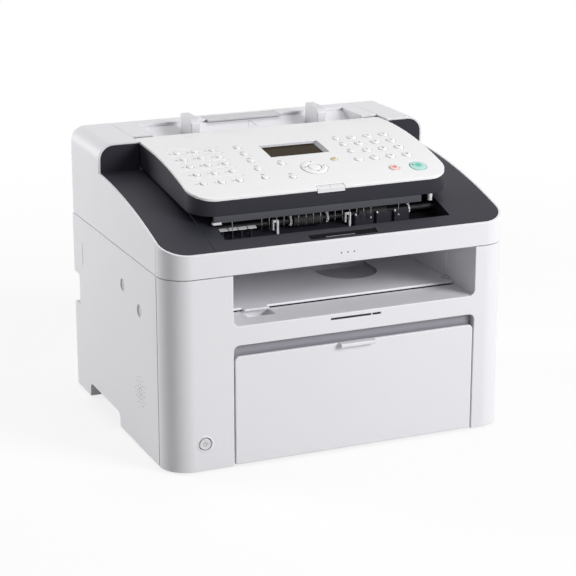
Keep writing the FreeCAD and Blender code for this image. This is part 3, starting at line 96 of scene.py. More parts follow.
# Faces of the body that many pieces are measured from. BACK is the side covers' rear face and REAR the
# bulge's. SEAM is the height of the parting line to the upper unit.
FRONT = low_corner("front_cover").y
LEFT = low_corner("left_cover").x
REAR = high_corner("rear_cover").y
BACK = high_corner("left_cover").y
SEAM = high_corner("left_cover").z
BAY_RIGHT = high_corner("paper_tray").x
# A point closer to a face than this lies in it.
NEAR = 0.1
# Setback of the parting lines in the body's sides.
SIDE_SEAM = 28.0


class Side(Enum):
    """The two sides of the body, as signs along X."""

    LEFT = -1
    RIGHT = 1


def linear(code: str) -> tuple[float, float, float, float]:
    """Turns an sRGB hex colour into linear light.

    Args:
        code: six hex digits after a hash sign.

    Returns:
        Red, green, blue and alpha.
    """
    parts = [int(code[i:i + 2], 16) / 255 for i in (1, 3, 5)]
    light = [c / 12.92 if c <= 0.04045 else ((c + 0.055) / 1.055) ** 2.4 for c in parts]
    return (*light, 1.0)


WHITE = linear("#FFFFFF")
# Sockets of a Mix node for colours. They go by number, because their names repeat.
MIX_SHARE, MIX_FIRST, MIX_SECOND, MIX_RESULT = 0, 6, 7, 2


def fresh_tree(owner: bpy.types.ID) -> bpy.types.NodeTree:
    """Empty node tree of a material or a world.

    Args:
        owner: the material or world.

    Returns:
        Its tree, without nodes.
    """
    owner.use_nodes = True
    owner.node_tree.nodes.clear()
    return owner.node_tree


def add_node(
    tree: bpy.types.NodeTree, kind: str, inputs: Optional[dict] = None, **settings: object
) -> bpy.types.Node:
    """Adds a shader node.

    Args:
        tree: the material's or world's node tree.
        kind: the node's type name.
        inputs: for each socket, a plain value or another node's output socket.
        settings: the node's own properties.

    Returns:
        The new node.
    """
    made = tree.nodes.new(kind)
    for name, setting in settings.items():
        setattr(made, name, setting)
    for socket, given in (inputs or {}).items():
        if isinstance(given, bpy.types.NodeSocket):
            tree.links.new(given, made.inputs[socket])
        else:
            made.inputs[socket].default_value = given
    return made


def per_mm(spacing: float) -> float:
    """Texture scale of a pattern whose features are a spacing in millimetres apart."""
    return 1.0 / (spacing * MM)


CLOUD_DETAIL = 3.0
GRAIN_DETAIL = 2.0
# How far the cloudiness moves the roughness up and down, and the least roughness that is left.
POLISH_SPREAD = 0.04
LEAST_ROUGHNESS = 0.02


@dataclass(frozen=True)
class Finish:
    """A moulded or coated surface: an even colour, a slight cloudiness of tone and a raised grain.

    The grain is drawn coarser than a real mould's spark grain, which would be too fine to show.
    """

    name: str
    colour: str
    roughness: float
    slot: str
    ior: float = 1.54
    metallic: float = 0.0
    grain: float = 0.9
    grain_height: float = 0.02
    cloud: float = 40.0
    cloud_depth: float = 0.02
    specular: float = 0.5
    coat: float = 0.0
    transmission: float = 0.0

    def material(self) -> bpy.types.Material:
        """The material, made the first time that it is asked for."""
        return bpy.data.materials.get(self.name) or self.make()

    def make(self) -> bpy.types.Material:
        """Builds the node tree.

        Returns:
            The new material.
        """
        made = bpy.data.materials.new(self.name)
        tree = fresh_tree(made)
        place = add_node(tree, "ShaderNodeTexCoord").outputs["Object"]
        cloud = add_node(tree, "ShaderNodeTexNoise", {
            "Vector": place,
            "Scale": per_mm(self.cloud),
            "Detail": CLOUD_DETAIL,
        }).outputs["Fac"]
        base = linear(self.colour)
        darker = (*(c * (1 - self.cloud_depth) for c in base[:3]), 1.0)
        tone = add_node(tree, "ShaderNodeMix", {
            MIX_SHARE: cloud,
            MIX_FIRST: darker,
            MIX_SECOND: base,
        }, data_type="RGBA")
        polish = add_node(tree, "ShaderNodeMapRange", {
            "Value": cloud,
            "To Min": max(self.roughness - POLISH_SPREAD, LEAST_ROUGHNESS),
            "To Max": self.roughness + POLISH_SPREAD,
        })
        grain = add_node(tree, "ShaderNodeTexNoise", {
            "Vector": place,
            "Scale": per_mm(self.grain),
            "Detail": GRAIN_DETAIL,
        })
        relief = add_node(tree, "ShaderNodeBump", {
            "Height": grain.outputs["Fac"],
            "Distance": self.grain_height * MM,
            "Strength": 1.0,
        })
        shader = add_node(tree, "ShaderNodeBsdfPrincipled", {
            "Base Color": tone.outputs[MIX_RESULT],
            "Roughness": polish.outputs["Result"],
            "Normal": relief.outputs["Normal"],
            "Metallic": self.metallic,
            "IOR": self.ior,
            "Specular IOR Level": self.specular,
            "Coat Weight": self.coat,
            "Transmission Weight": self.transmission,
        })
        add_node(tree, "ShaderNodeOutputMaterial", {"Surface": shader.outputs["BSDF"]})
        return made


# White ABS from a lightly sparked mould: pale, even, with a soft sheen that hides finger marks.
SHELL = Finish("white_abs_moulded", "#E9E8EC", 0.48, "white_shell")
# The same ABS, dyed charcoal with a blue cast. Its coarser spark grain swallows most of the sheen.
DECK = Finish("charcoal_abs_moulded", "#26262F", 0.5, "charcoal_shell", grain=0.7, grain_height=0.03,
              specular=0.22)
# Guide strip in the document exit: the charcoal ABS with a paler dye.
SLATE = Finish("slate_abs_moulded", "#47484F", 0.45, "charcoal_shell", grain=0.7, grain_height=0.03,
               specular=0.3)
# Key plate: white ABS with a smoother, brighter face.
PLATE = Finish("white_abs_satin", "#F3F3F4", 0.4, "plate_white", grain=1.2, grain_height=0.008)
# Key tops: polished ABS, each colour moulded through, so that they gleam at their edges.
KEY = Finish("key_abs_polished", "#F4F4F5", 0.3, "key_white", grain=1.5, grain_height=0.005)
KEY_TEAL = Finish("key_abs_teal", "#B5E0D8", 0.32, "key_green", grain=1.5, grain_height=0.005)
KEY_SALMON = Finish("key_abs_salmon", "#F0D3CF", 0.32, "key_red", grain=1.5, grain_height=0.005)
KEY_AMBER = Finish("key_abs_amber", "#EBDDC2", 0.32, "key_orange", grain=1.5, grain_height=0.005)
# Document guides, flap and paper tray: ABS in three greys, with the sheen of the white covers. The middle
# grey also paints the shade in the left cover's dimples.
GUIDE = Finish("guide_abs_moulded", "#DFDFE2", 0.45, "guide_white")
SUPPORT = Finish("support_abs_grey", "#CDCDD0", 0.45, "support_grey")
TRAY = Finish("tray_abs_grey", "#B9BABF", 0.5, "support_grey")
# Inner frames and casings: black glass-filled plastic, dull from its fibres.
BLACK = Finish("black_plastic_moulded", "#1B1B1F", 0.6, "inner_black", specular=0.25)
# Painted shade for the bottoms of slots and recesses: the black plastic made near-black, to stand for the
# shade in them.
SHADE = Finish("black_plastic_recess", "#101013", 0.8, "inner_black", specular=0.08)
# Lining of the scoop in the toner cover: grey ABS, a little duller than the cover, and much darker than it as
# painted shade for the inside of the recess.
SCOOP = Finish("scoop_abs_grey", "#B4B5B9", 0.55, "support_grey")
# Zinc-plated sheet: grey metal with a faint spangle.
SHEET_STEEL = Finish("zinc_plated_sheet", "#B9BBBE", 0.38, "frame_steel", metallic=1.0, ior=1.5, cloud=12.0,
                     cloud_depth=0.15)
# Ground shafts and drawn wires: bright steel with narrow highlights.
SHAFT = Finish("ground_steel", "#CFCFD2", 0.25, "shaft_steel", metallic=1.0, ior=1.5, grain=0.5,
               grain_height=0.001)
# Roller tyres and feet: matte EPDM, which shows almost no sheen.
RUBBER = Finish("roller_rubber", "#474443", 0.85, "roller_rubber", ior=1.5, grain=0.5, grain_height=0.05)
FOOT = Finish("foot_rubber", "#4A4A4C", 0.85, "foot_rubber", ior=1.5)
# Dust cover: smoke-grey polystyrene sheet, which lets a little light through.
SMOKE = Finish("smoke_polystyrene", "#9C9BA4", 0.2, "clear_grey", ior=1.59, grain=6.0, grain_height=0.02,
               transmission=0.12)
# Release tab: frosted polycarbonate under a gloss skin.
FROST = Finish("frosted_polycarbonate", "#ECECEF", 0.14, "clear_grey", ior=1.58, grain=4.0, grain_height=0.01,
               coat=0.4)
# Circuit boards: green solder mask over copper tracks, which show as a mottle.
BOARD = Finish("solder_mask_green", "#1F5A38", 0.35, "board_green", ior=1.5, cloud=2.5, cloud_depth=0.35)
# Display: dark olive liquid crystal cell behind acrylic with an anti-reflection film.
CELL = Finish("liquid_crystal_cell", "#3B311F", 0.12, "display_glass", ior=1.49, grain=8.0,
              grain_height=0.002, cloud=30.0, cloud_depth=0.35, specular=0.02)
# Frame round the display: grey ABS, darker than the plate as painted shade on the window's inner walls, so
# that the window looks deep.
BEZEL = Finish("bezel_abs_grey", "#ABACB1", 0.4, "plate_white")
# Printed marks: screen ink, flat and without sheen. The dark one is also painted shade in the bottoms of
# parting lines and in the speaker's holes, and the grey one in the release tab's slit. The pale one is only
# painted shade, on its step.
INK = Finish("ink_grey", "#77787F", 0.55, "plate_white", ior=1.5)
PALE_GREY_SHADE = Finish("ink_pale_grey", "#B4B5BA", 0.55, "plate_white", ior=1.5)
DARK_INK_AND_SHADE = Finish("ink_dark", "#3A3A42", 0.55, "plate_white", ior=1.5)
INK_TEAL = Finish("ink_teal", "#62C7B2", 0.5, "key_green", ior=1.5)
INK_RED = Finish("ink_red", "#E28579", 0.5, "key_red", ior=1.5)
INK_AMBER = Finish("ink_amber", "#B98B45", 0.5, "key_orange", ior=1.5)


def moved(x: float = 0.0, y: float = 0.0, z: float = 0.0) -> Matrix:
    """A shift along the axes."""
    return Matrix.Translation((x, y, z))


def turned(angle: float, axis: str) -> Matrix:
    """A turn by an angle in degrees about an axis."""
    return Matrix.Rotation(math.radians(angle), 4, axis)


# Turns what was made facing up so that it faces the front.
FACING_FRONT = turned(90, "X")


@dataclass(frozen=True)
class DrumFace:
    """A face that is part of a big cylinder along X, such as the key plate or the deck."""

    axis_setback: float
    axis_height: float
    radius: float

    def at(self, x: float, setback: float, lift: float = 0.0) -> Matrix:
        """Place on the face, with Z square to it.

        Args:
            x: place across the face.
            setback: place along it.
            lift: height above it.

        Returns:
            The placing matrix.
        """
        slope = math.asin((self.axis_setback - setback) / self.radius)
        axis = moved(x, FRONT + self.axis_setback, self.axis_height)
        return axis @ Matrix.Rotation(slope, 4, "X") @ moved(z=self.radius + lift)

    def height(self, setback: float) -> float:
        """Height of the face at a setback."""
        return self.axis_height + math.sqrt(self.radius ** 2 - (self.axis_setback - setback) ** 2)


PLATE_RADIUS = 480.0
PLATE_CREST = 200.0
KEY_PLATE = DrumFace(PLATE_CREST, high_corner("panel_plate").z - PLATE_RADIUS, PLATE_RADIUS)
DECK_RADIUS = 729.7
DECK_CREST = 240.0
DECK_RISE = 24.4
DECK_FRONT = SEAM + DECK_RISE
DECK_FACE = DrumFace(DECK_CREST, DECK_FRONT - math.sqrt(DECK_RADIUS ** 2 - DECK_CREST ** 2), DECK_RADIUS)


def about(middle: float, half: float) -> Span:
    """The span that reaches as far to both sides of a place."""
    return middle - half, middle + half


def shifted(span: Span, by: float) -> Span:
    """The same span, further along its axis."""
    return span[0] + by, span[1] + by


def sized(profile: Sequence[Corner], radius: float) -> list[Corner]:
    """A profile of radii and heights, from one whose radii are shares of a radius."""
    return [(share * radius, height) for share, height in profile]


def everything(bm: Mesh) -> list:
    """All points, edges and faces of a mesh."""
    return [*bm.verts, *bm.edges, *bm.faces]


# Distances within which the points of a made mesh or of a CAD copy merge, or lie in a cutting plane.
MERGE = 1e-4
COPY_MERGE = 1e-3
IN_PLANE = 1e-5
ARC_STEPS = 20
# A face whose normal rises more than this looks up.
UPWARD = 0.9


def block(x: Span, y: Span, z: Span) -> Mesh:
    """Box that fills three spans.

    Args:
        x: its reach from left to right.
        y: its reach from front to back.
        z: its reach from bottom to top.

    Returns:
        The box.
    """
    bm = bmesh.new()
    low, high = (Vector(corner) for corner in zip(x, y, z))
    place = Matrix.Translation((low + high) / 2) @ Matrix.Diagonal((*(high - low), 1.0))
    bmesh.ops.create_cube(bm, size=1.0, matrix=place)
    return bm


def rod(start: Point, end: Point, radius: float, sides: int) -> Mesh:
    """Cylinder between two points.

    Args:
        start: middle of one end.
        end: middle of the other.
        radius: its radius.
        sides: number of flats round it.

    Returns:
        The cylinder.
    """
    bm = bmesh.new()
    along = Vector(end) - Vector(start)
    turn = along.to_track_quat("Z", "Y").to_matrix().to_4x4()
    place = Matrix.Translation((Vector(start) + Vector(end)) / 2) @ turn
    bmesh.ops.create_cone(bm, cap_ends=True, segments=sides, radius1=radius, radius2=radius,
                          depth=along.length, matrix=place)
    return bm


def lathe(profile: Sequence[Corner], steps: int = 32, is_ring: bool = False) -> Mesh:
    """Turns a profile about Z.

    Args:
        profile: radius and height of each corner, from one end of the axis to the other.
        steps: number of steps round the axis.
        is_ring: whether the last corner joins the first, away from the axis.

    Returns:
        The turned shape.
    """
    bm = bmesh.new()
    spots = [bm.verts.new((radius, 0.0, height)) for radius, height in profile]
    pairs = list(zip(spots, spots[1:]))
    if is_ring:
        pairs.append((spots[-1], spots[0]))
    edges = [bm.edges.new(pair) for pair in pairs]
    bmesh.ops.spin(bm, geom=spots + edges, cent=(0, 0, 0), axis=(0, 0, 1), dvec=(0, 0, 0), angle=2 * math.pi,
                   steps=steps, use_merge=True)
    bmesh.ops.remove_doubles(bm, verts=bm.verts, dist=MERGE)
    bmesh.ops.recalc_face_normals(bm, faces=bm.faces)
    return bm


def arc_band(radius: float, width: float, sweep: float, thick: float) -> Mesh:
    """Flat band along part of a circle about Z, whose gap is centred on +Y.

    Args:
        radius: radius of the band's middle line.
        width: width of the band.
        sweep: how far round it goes, in degrees.
        thick: its thickness above Z = 0.

    Returns:
        The band.
    """
    bm = bmesh.new()
    bmesh.ops.create_grid(bm, x_segments=1, y_segments=1, size=0.5)
    section = moved(radius, 0.0, thick / 2) @ Matrix.Diagonal((width, 1.0, thick, 1.0)) @ FACING_FRONT
    bmesh.ops.transform(bm, matrix=turned(90 + (360 - sweep) / 2, "Z") @ section, verts=bm.verts)
    bmesh.ops.spin(bm, geom=everything(bm), cent=(0, 0, 0), axis=(0, 0, 1), dvec=(0, 0, 0),
                   angle=math.radians(sweep), steps=ARC_STEPS)
    bmesh.ops.recalc_face_normals(bm, faces=bm.faces)
    return bm


def skin(loops: Sequence[Sequence[Point]]) -> Mesh:
    """Solid whose skin runs from loop to loop.

    Args:
        loops: closed loops of points, in order. The first and the last are capped.

    Returns:
        The solid.
    """
    bm = bmesh.new()
    rings = []
    for loop in loops:
        spots = [bm.verts.new(point) for point in loop]
        rings.append((spots, [bm.edges.new(pair) for pair in zip(spots, spots[1:] + spots[:1])]))
    for spots, _ in (rings[0], rings[-1]):
        bm.faces.new(spots)
    for (_, near), (_, far) in zip(rings, rings[1:]):
        bmesh.ops.bridge_loops(bm, edges=near + far)
    bmesh.ops.recalc_face_normals(bm, faces=bm.faces)
    return bm


def at_height(outline: Sequence[Corner], height: float) -> list[Point]:
    """Loop of an outline in X and Y at a height."""
    return [(x, y, height) for x, y in outline]


def tile(outline: Sequence[Corner], thick: float) -> Mesh:
    """Flat tile of an outline in X and Y, standing on Z = 0."""
    return skin([at_height(outline, height) for height in (0.0, thick)])


def lining(bm: Mesh, thick: float) -> Mesh:
    """Turns a solid into the thin cup of its sides and bottom.

    Args:
        bm: the solid.
        thick: thickness of the cup.

    Returns:
        The same mesh.
    """
    bmesh.ops.delete(bm, geom=[f for f in bm.faces if f.normal.z > UPWARD], context="FACES_ONLY")
    bmesh.ops.solidify(bm, geom=list(bm.faces), thickness=thick)
    bmesh.ops.recalc_face_normals(bm, faces=bm.faces)
    return bm


CAPITAL_SHARE = 0.7
INK_DEPTH = 0.04
LETTER_STEPS = 3
LETTER_FLAT = math.radians(1)


def lettering(words: str, height: float) -> Mesh:
    """Raised ink lettering, centred on the origin and facing up.

    Args:
        words: what it says.
        height: height of a digit.

    Returns:
        The letters' mesh.
    """
    data = bpy.data.curves.new("lettering", "FONT")
    data.body = words
    data.align_x = "CENTER"
    data.align_y = "CENTER"
    data.size = height / CAPITAL_SHARE
    data.extrude = INK_DEPTH
    data.resolution_u = LETTER_STEPS
    holder = bpy.data.objects.new("lettering", data)
    mesh = bpy.data.meshes.new_from_object(holder)
    bm = bmesh.new()
    bm.from_mesh(mesh)
    bmesh.ops.remove_doubles(bm, verts=bm.verts, dist=MERGE)
    bmesh.ops.dissolve_limit(bm, angle_limit=LETTER_FLAT, verts=bm.verts, edges=bm.edges)
    bpy.data.objects.remove(holder)
    bpy.data.curves.remove(data)
    bpy.data.meshes.remove(mesh)
    return bm


def placed(bm: Mesh, place: Matrix) -> Mesh:
    """The same mesh, moved to its place."""
    bmesh.ops.transform(bm, matrix=place, verts=bm.verts)
    return bm


def finished(bm: Mesh, name: str) -> bpy.types.Mesh:
    """The mesh as data that an object can hold. The given one is freed.

    Args:
        bm: the mesh.
        name: name of the data.

    Returns:
        The data.
    """
    mesh = bpy.data.meshes.new(name)
    bm.to_mesh(mesh)
    bm.free()
    return mesh


def gather(*parts: Mesh) -> Mesh:
    """Several meshes in one. The given ones are freed.

    Args:
        parts: the meshes.

    Returns:
        The joint mesh.
    """
    whole = bmesh.new()
    for part in parts:
        passing = finished(part, "passing")
        whole.from_mesh(passing)
        bpy.data.meshes.remove(passing)
    return whole


@dataclass(frozen=True)
class EdgeRule:
    """How the sharp edges that a test picks are rounded: a width and a number of steps."""

    width: float
    steps: int = 2
    test: SpotTest = lambda spot: True


# Edges of big covers, small mouldings, thin ones, fine ones, soft or rounded pieces and small fittings.
COVER_EDGE = EdgeRule(0.5)
SMALL_EDGE = EdgeRule(0.4)
THIN_EDGE = EdgeRule(0.3)
FINE_EDGE = EdgeRule(0.2)
SOFT_EDGE = EdgeRule(0.6)
FITTING_EDGE = EdgeRule(0.3, steps=1)

# Edges sharper than SHARP are rounded, and those sharper than CREASE stay hard in the shading.
SHARP = math.radians(40)
CREASE = math.radians(50)
# Points of a finished piece that are closer than this merge.
TINY = 2e-3
COPY_FLAT = math.radians(0.3)


def round_edges(bm: Mesh, *rules: EdgeRule) -> Mesh:
    """Bevels the sharp edges of a mesh, one rule after another.

    Args:
        bm: the mesh.
        rules: which edges get which width. An edge follows the first rule that picks it.

    Returns:
        The same mesh.
    """
    for rule in rules:
        sharp = [e for e in bm.edges if e.is_manifold and e.calc_face_angle(0.0) > SHARP]
        picked = [e for e in sharp if rule.test((e.verts[0].co + e.verts[1].co) / 2)]
        bmesh.ops.bevel(bm, geom=picked, offset=rule.width, offset_type="OFFSET", segments=rule.steps,
                        profile=0.5, affect="EDGES", clamp_overlap=False, material=-1)
    return bm


@dataclass(frozen=True)
class PartingLine:
    """A line scored across a face: where its middle is, how deep it goes and half of its width."""

    place: float
    depth: float
    half_width: float


def score(bm: Mesh, axis: int, line: PartingLine, test: SpotTest, push: Vector) -> Mesh:
    """Scores a parting line across a mesh.

    Args:
        bm: the mesh.
        axis: 0 for a line at a place along X, 1 along Y.
        line: its place, depth and width.
        test: picks the points of the outer face.
        push: direction into the face.

    Returns:
        The same mesh.
    """
    normal = Vector((1.0, 0.0, 0.0)) if axis == 0 else Vector((0.0, 1.0, 0.0))
    for step in (-line.half_width, 0.0, line.half_width):
        bmesh.ops.bisect_plane(bm, geom=everything(bm), dist=IN_PLANE, plane_co=normal * (line.place + step),
                               plane_no=normal)
    middle = [v for v in bm.verts if abs(v.co[axis] - line.place) < COPY_MERGE and test(v.co)]
    bmesh.ops.translate(bm, vec=push * line.depth, verts=middle)
    return bm


def cut_off(bm: Mesh, place: Matrix, keeps_above: bool) -> Mesh:
    """Cuts a mesh at the XY plane of a place and closes the cut.

    Args:
        bm: the mesh.
        place: where the plane is and which way is up.
        keeps_above: whether the part above the plane stays, or the part below it.

    Returns:
        The same mesh.
    """
    up = place.to_3x3() @ Vector((0.0, 0.0, 1.0))
    cut = bmesh.ops.bisect_plane(bm, geom=everything(bm), dist=IN_PLANE, plane_co=place.translation,
                                 plane_no=up, clear_outer=not keeps_above, clear_inner=keeps_above)
    bmesh.ops.edgeloop_fill(bm, edges=[e for e in cut["geom_cut"] if isinstance(e, bmesh.types.BMEdge)])
    return bm


def copy_of(node: str) -> Mesh:
    """The mesh of a CAD node in millimetres, with its triangles joined and its flat faces made whole.

    Args:
        node: the CAD node.

    Returns:
        The copy.
    """
    bm = bmesh.new()
    bm.from_mesh(frame["nodes"][node].data)
    bmesh.ops.scale(bm, vec=(1 / MM,) * 3, verts=bm.verts)
    bmesh.ops.remove_doubles(bm, verts=bm.verts, dist=COPY_MERGE)
    bmesh.ops.dissolve_limit(bm, angle_limit=COPY_FLAT, verts=bm.verts, edges=bm.edges)
    return bm


def add_object(name: str, data: bpy.types.ID) -> bpy.types.Object:
    """Puts a mesh, a lamp or a camera into the scene.

    Args:
        name: the object's name.
        data: what it holds.

    Returns:
        The new object.
    """
    made = bpy.data.objects.new(name, data)
    bpy.context.scene.collection.objects.link(made)
    return made


def make_piece(bm: Mesh, name: str, finish: Finish, carrier: str, *replaced: str) -> bpy.types.Object:
    """Turns a mesh into a piece that moves with a CAD node.

    Args:
        bm: the mesh, which is freed.
        name: the piece's name.
        finish: its surface.
        carrier: a CAD node of the body that it is fastened to.
        replaced: CAD nodes that it stands for.

    Returns:
        The new object.
    """
    bmesh.ops.remove_doubles(bm, verts=bm.verts, dist=TINY)
    bmesh.ops.dissolve_degenerate(bm, dist=TINY, edges=bm.edges)
    bmesh.ops.recalc_face_normals(bm, faces=bm.faces)
    if bm.calc_volume(signed=True) < 0:
        bmesh.ops.reverse_faces(bm, faces=bm.faces)
    bmesh.ops.scale(bm, vec=(MM,) * 3, verts=bm.verts)
    for face in bm.faces:
        face.smooth = True
    for edge in bm.edges:
        edge.smooth = edge.is_manifold and edge.calc_face_angle(0.0) < CREASE
    mesh = finished(bm, name)
    mesh.materials.append(finish.material())
    piece = add_object(name, mesh)
    shading = piece.modifiers.new("even_shading", "WEIGHTED_NORMAL")
    shading.keep_sharp = True
    body = frame["nodes"][carrier]["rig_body"]
    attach(piece, body)
    if replaced:
        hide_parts(*replaced)
    log.info("%s: %d faces, on %s", name, len(mesh.polygons), body)
    return piece


def soften(node: str, finish: Finish, *rules: EdgeRule) -> bpy.types.Object:
    """A copy of a CAD node with rounded edges, which stands for it."""
    return make_piece(round_edges(copy_of(node), *rules), f"{node}_shell", finish, node, node)


def seam_shade_strip(side: Side, half: float, depth: Span, height: Span) -> Mesh:
    """Strip of painted shade at the dark bottom of a parting line in one of the body's sides.

    Args:
        side: which side.
        half: half of the strip's width.
        depth: how far behind the side's face it starts and ends.
        height: its lower and upper end.

    Returns:
        The strip.
    """
    near, far = sorted(side.value * (-LEFT - reach) for reach in depth)
    return block((near, far), about(FRONT + SIDE_SEAM, half), height)


@dataclass(frozen=True)
class Lamp:
    """A round soft lamp: its place and size in metres and its power in watts."""

    name: str
    place: Point
    size: float
    power: float


@dataclass
class Studio:
    """Pale floor, soft lights and the camera."""

    camera_place: Point = (-758.5, -1774.5, 713.7)
    camera_turn: float = -23.316
    camera_tilt: float = 16.851
    camera_reach: float = 100.0
    lens: float = 118.47
    sensor: float = 36.0
    floor_size: float = 12.0
    floor_shade: str = "#B8B8B8"
    floor_white: float = 0.8
    floor_fade: Span = (0.3, 1.3)
    ambient: float = 0.22
    aim: Point = (0.0, 0.0, 0.12)
    lamps: tuple[Lamp, ...] = (
        Lamp("right_front_lamp", (1.54, -2.12, 1.3), 1.4, 67.0),
        Lamp("left_rear_lamp", (-1.9, 1.76, 0.7), 1.4, 41.0),
        Lamp("top_lamp", (0.2, 0.3, 2.4), 1.6, 13.0),
    )

    def build(self) -> None:
        """Makes everything that isn't part of the object."""
        self.set_camera()
        self.set_world()
        self.set_floor()
        self.set_lights()
        bpy.context.scene.view_settings.view_transform = "Standard"

    def set_camera(self) -> None:
        """Camera at the photograph's viewing angle."""
        data = bpy.data.cameras.new("camera")
        data.sensor_width = self.sensor
        data.lens = self.lens
        data.clip_end = self.camera_reach
        camera = add_object("camera", data)
        camera.location = Vector(self.camera_place) * MM
        camera.rotation_euler = (math.radians(90 - self.camera_tilt), 0.0, math.radians(self.camera_turn))
        bpy.context.scene.camera = camera

    def seen(self, tree: bpy.types.NodeTree) -> bpy.types.NodeSocket:
        """Socket that is 1 for the rays that show a backdrop: from the eye, a reflection or through glass.

        Args:
            tree: the node tree that the socket is for.

        Returns:
            The socket.
        """
        path = add_node(tree, "ShaderNodeLightPath")
        found = path.outputs["Is Camera Ray"]
        for ray in ("Is Glossy Ray", "Is Transmission Ray"):
            either = add_node(tree, "ShaderNodeMath", {0: found, 1: path.outputs[ray]}, operation="MAXIMUM")
            found = either.outputs[0]
        return found

    def set_world(self) -> None:
        """White surroundings, which give the object a lower level of light than they show."""
        world = bpy.data.worlds.new("studio")
        bpy.context.scene.world = world
        tree = fresh_tree(world)
        level = add_node(tree, "ShaderNodeMapRange", {
            "Value": self.seen(tree),
            "To Min": self.ambient,
            "To Max": 1.0,
        }).outputs["Result"]
        back = add_node(tree, "ShaderNodeBackground", {"Color": WHITE, "Strength": level})
        add_node(tree, "ShaderNodeOutputWorld", {"Surface": back.outputs["Background"]})

    def set_floor(self) -> None:
        """Pale floor that keeps a soft shadow and throws only part of its light back at the object."""
        bm = bmesh.new()
        bmesh.ops.create_grid(bm, x_segments=1, y_segments=1, size=self.floor_size / 2)
        floor = add_object("floor", finished(bm, "floor"))
        made = bpy.data.materials.new("pale_floor")
        tree = fresh_tree(made)
        seen = self.seen(tree)
        colour = add_node(tree, "ShaderNodeMix", {
            MIX_SHARE: seen,
            MIX_FIRST: linear(self.floor_shade),
            MIX_SECOND: WHITE,
        }, data_type="RGBA").outputs[MIX_RESULT]
        matt = add_node(tree, "ShaderNodeBsdfDiffuse", {"Color": colour}).outputs[0]
        white = add_node(tree, "ShaderNodeEmission", {"Color": WHITE, "Strength": 1.0}).outputs[0]
        place = add_node(tree, "ShaderNodeTexCoord").outputs["Object"]
        reach = add_node(tree, "ShaderNodeVectorMath", {0: place}, operation="LENGTH").outputs["Value"]
        fade = add_node(tree, "ShaderNodeMapRange", {
            "Value": reach,
            "From Min": self.floor_fade[0],
            "From Max": self.floor_fade[1],
            "To Min": self.floor_white,
            "To Max": 1.0,
        }, interpolation_type="SMOOTHSTEP").outputs["Result"]
        share = add_node(tree, "ShaderNodeMath", {0: seen, 1: fade}, operation="MULTIPLY").outputs[0]
        both = add_node(tree, "ShaderNodeMixShader", {0: share, 1: matt, 2: white})
        add_node(tree, "ShaderNodeOutputMaterial", {"Surface": both.outputs[0]})
        floor.data.materials.append(made)

    def set_lights(self) -> None:
        """Large soft lamps: from the right in front, from the left behind, and from above."""
        for lamp in self.lamps:
            data = bpy.data.lights.new(lamp.name, "AREA")
            data.shape = "DISK"
            data.size = lamp.size
            data.energy = lamp.power
            light = add_object(lamp.name, data)
            light.location = lamp.place
            aim = Vector(self.aim) - Vector(lamp.place)
            light.rotation_euler = aim.to_track_quat("-Z", "Y").to_euler()


@dataclass
class OutputSlot:
    """Where printed sheets come out: the painted shade lining the scoop in its floor, and the stub and rib at
    its right end.
    """

    scoop_x: float = 61.0
    scoop_y: Span = (-30.0, -6.5)
    scoop_radius: float = 32.0
    scoop_height: Span = (146.0, 150.0)
    scoop_gap: float = 0.05
    scoop_skin: float = 0.2
    scoop_steps: int = 24
    stub_x: Span = (139.5, 146.0)
    stub_y: Span = (-101.0, -95.0)
    stub_height: Span = (149.9, 152.0)
    rib_reach: Span = (-0.5, 0.4)
    rib_y: float = -92.0
    rib_half: float = 0.5
    rib_height: Span = (152.0, 177.0)

    def build(self) -> None:
        """Grey lining of painted shade in the toner cover's U-shaped scoop for taking out sheets, and the
        stub and rib at its right end.
        """
        x, (y, end), gap = self.scoop_x, self.scoop_y, self.scoop_gap
        radius = self.scoop_radius - gap
        turns = [math.pi * (1 + k / self.scoop_steps) for k in range(self.scoop_steps + 1)]
        arc = [(x + radius * math.cos(turn), y + radius * math.sin(turn)) for turn in turns]
        outline = [(x - radius, end - gap), *arc, (x + radius, end - gap)]
        low, high = self.scoop_height
        cup = lining(tile(outline, high - low), self.scoop_skin)
        # The lining's grey is painted shade: it darkens the inside of the scoop.
        make_piece(placed(cup, moved(z=low + gap)), "toner_cover_scoop", SCOOP, "toner_cover")
        stub = round_edges(block(self.stub_x, self.stub_y, self.stub_height), SMALL_EDGE)
        make_piece(stub, "toner_cover_stub", SUPPORT, "toner_cover")
        rib = block(shifted(self.rib_reach, BAY_RIGHT), about(self.rib_y, self.rib_half), self.rib_height)
        make_piece(rib, "output_slot_rib", SHELL, "front_cover")


